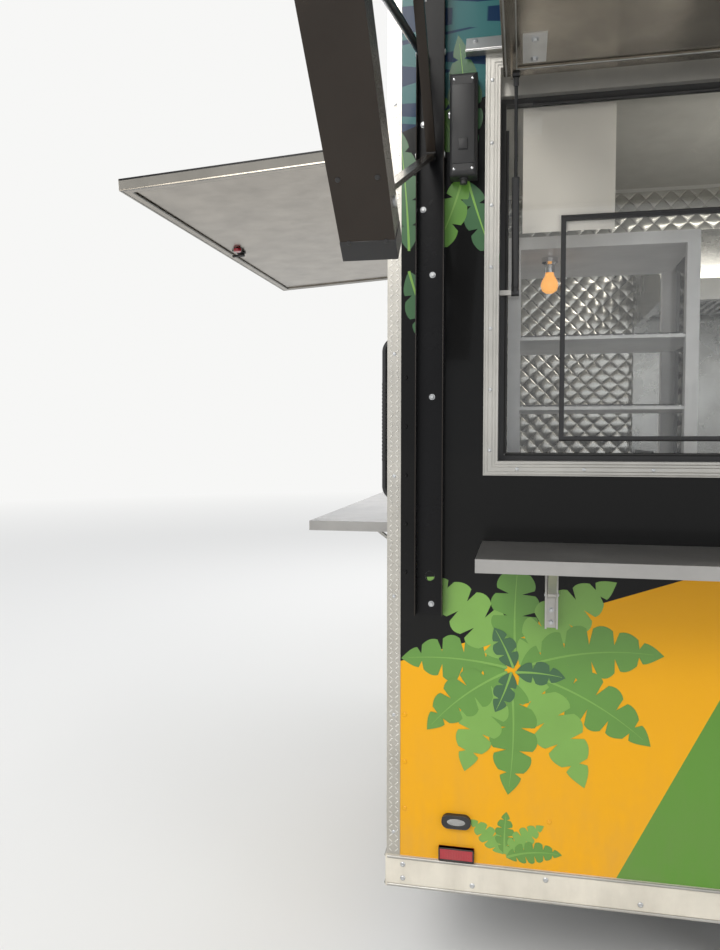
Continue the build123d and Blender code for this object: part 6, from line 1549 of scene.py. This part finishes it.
cloth = put("awning_canopy", grid_sheet(canopy_spot, CLOTH_ROWS, CLOTH_COLUMNS), AWNING_CLOTH, 60, facing=UP)
hems, caps = fresh(2)
for x in (cloth_low.x + 0.0035, cloth_high.x - 0.0035):
    chain(hems, [drawn(x, r / CLOTH_ROWS, SAG * 0.55) for r in range(CLOTH_ROWS + 1)], 0.0014, 6)
hem = put("awning_hems", hems, AWNING_CLOTH, 60)
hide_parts("awning_fabric")
for piece in (cloth, hem):
    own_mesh(piece)
middle = (roller_low + roller_high) / 2
for x, side in ((roller_low.x + 0.0202, -1), (roller_high.x - 0.0202, 1)):
    knob(caps, (x, middle.y, middle.z), (side, 0, 0), ROLLER_CAP, 28)
put("roller_caps", caps, BLACK_PLASTIC, 35, "awning_arms")

# Floor, backdrop, light and camera
BACKDROP = (0.93, 0.93, 0.92, 1.0)
PALE_FLOOR = (0.80, 0.795, 0.78, 1.0)
FADE = (5.0, 20.0)
stage = bmesh.new()
bmesh.ops.create_grid(stage, x_segments=1, y_segments=1, size=60.0)
floor_data = bpy.data.meshes.new("stage_floor")
stage.to_mesh(floor_data)
stage.free()
stage_floor = bpy.data.objects.new("stage_floor", floor_data)
bpy.context.scene.collection.objects.link(stage_floor)
pale, tree, shader = begin("pale floor", 0.85)
shader.inputs["Base Color"].default_value = PALE_FLOOR
away = add(tree, "VectorMath", {0: place_in(tree)}, operation="LENGTH").outputs["Value"]
haze = add(tree, "Emission", {"Color": BACKDROP, "Strength": 1.0})
faded = add(tree, "MixShader", {0: ramp(tree, away, *FADE), 1: shader.outputs[0], 2: haze.outputs[0]})
tree.links.new(faded.outputs[0], tree.nodes["Material Output"].inputs["Surface"])
floor_data.materials.append(pale)

world = bpy.data.worlds.new("studio")
bpy.context.scene.world = world
world.use_nodes = True
tree = world.node_tree
tree.nodes.clear()
path = add(tree, "LightPath")
seen = calc(tree, "MAXIMUM", path.outputs["Is Camera Ray"], path.outputs["Is Transmission Ray"])
room = add(tree, "Background", {"Color": (0.95, 0.97, 1.0, 1.0), "Strength": 0.80})
backdrop = add(tree, "Background", {"Color": BACKDROP, "Strength": 1.0})
mixed = add(tree, "MixShader", {0: seen, 1: room.outputs[0], 2: backdrop.outputs[0]})
out = tree.nodes.new("ShaderNodeOutputWorld")
tree.links.new(mixed.outputs[0], out.inputs["Surface"])

KITCHEN_X = REAR_X + 1.6
for name, spot, target, size, power, colour in (
        ("key", (-4.5, -6.0, 6.0), (0.0, -1.0, 1.2), 3.5, 330.0, (1.0, 0.97, 0.92)),
        ("fill", (5.5, -6.5, 4.5), (0.5, -1.0, 1.0), 4.0, 160.0, (0.92, 0.96, 1.0)),
        ("back", (-3.0, 7.0, 6.0), (0.0, 0.5, 1.5), 4.0, 200.0, (1.0, 1.0, 1.0)),
        ("kitchen", (KITCHEN_X, MID_Y, 2.70), (KITCHEN_X, MID_Y, 0.5), 1.2, 22.0, (1.0, 0.95, 0.86)),
):
    data = bpy.data.lights.new(name, "AREA")
    data.size = size
    data.energy = power
    data.color = colour
    lamp = bpy.data.objects.new(name, data)
    lamp.location = spot
    lamp.rotation_euler = (Vector(target) - Vector(spot)).to_track_quat("-Z", "Y").to_euler()
    bpy.context.scene.collection.objects.link(lamp)

SENSOR = 36.0
camera_data = bpy.data.cameras.new("camera")
camera_data.sensor_width = SENSOR
camera_data.sensor_fit = "VERTICAL"
camera_data.sensor_height = SENSOR
camera_data.lens = SENSOR * 791.0 / 950.0
camera = bpy.data.objects.new("camera", camera_data)
camera.location = (REAR_X + 0.335, KERB_Y - 1.965, 1.50)
camera.rotation_euler = (math.radians(90.0 - 2.75), 0.0, math.radians(11.7))
bpy.context.scene.collection.objects.link(camera)
bpy.context.scene.camera = camera
bpy.context.scene.view_settings.view_transform = "Standard"
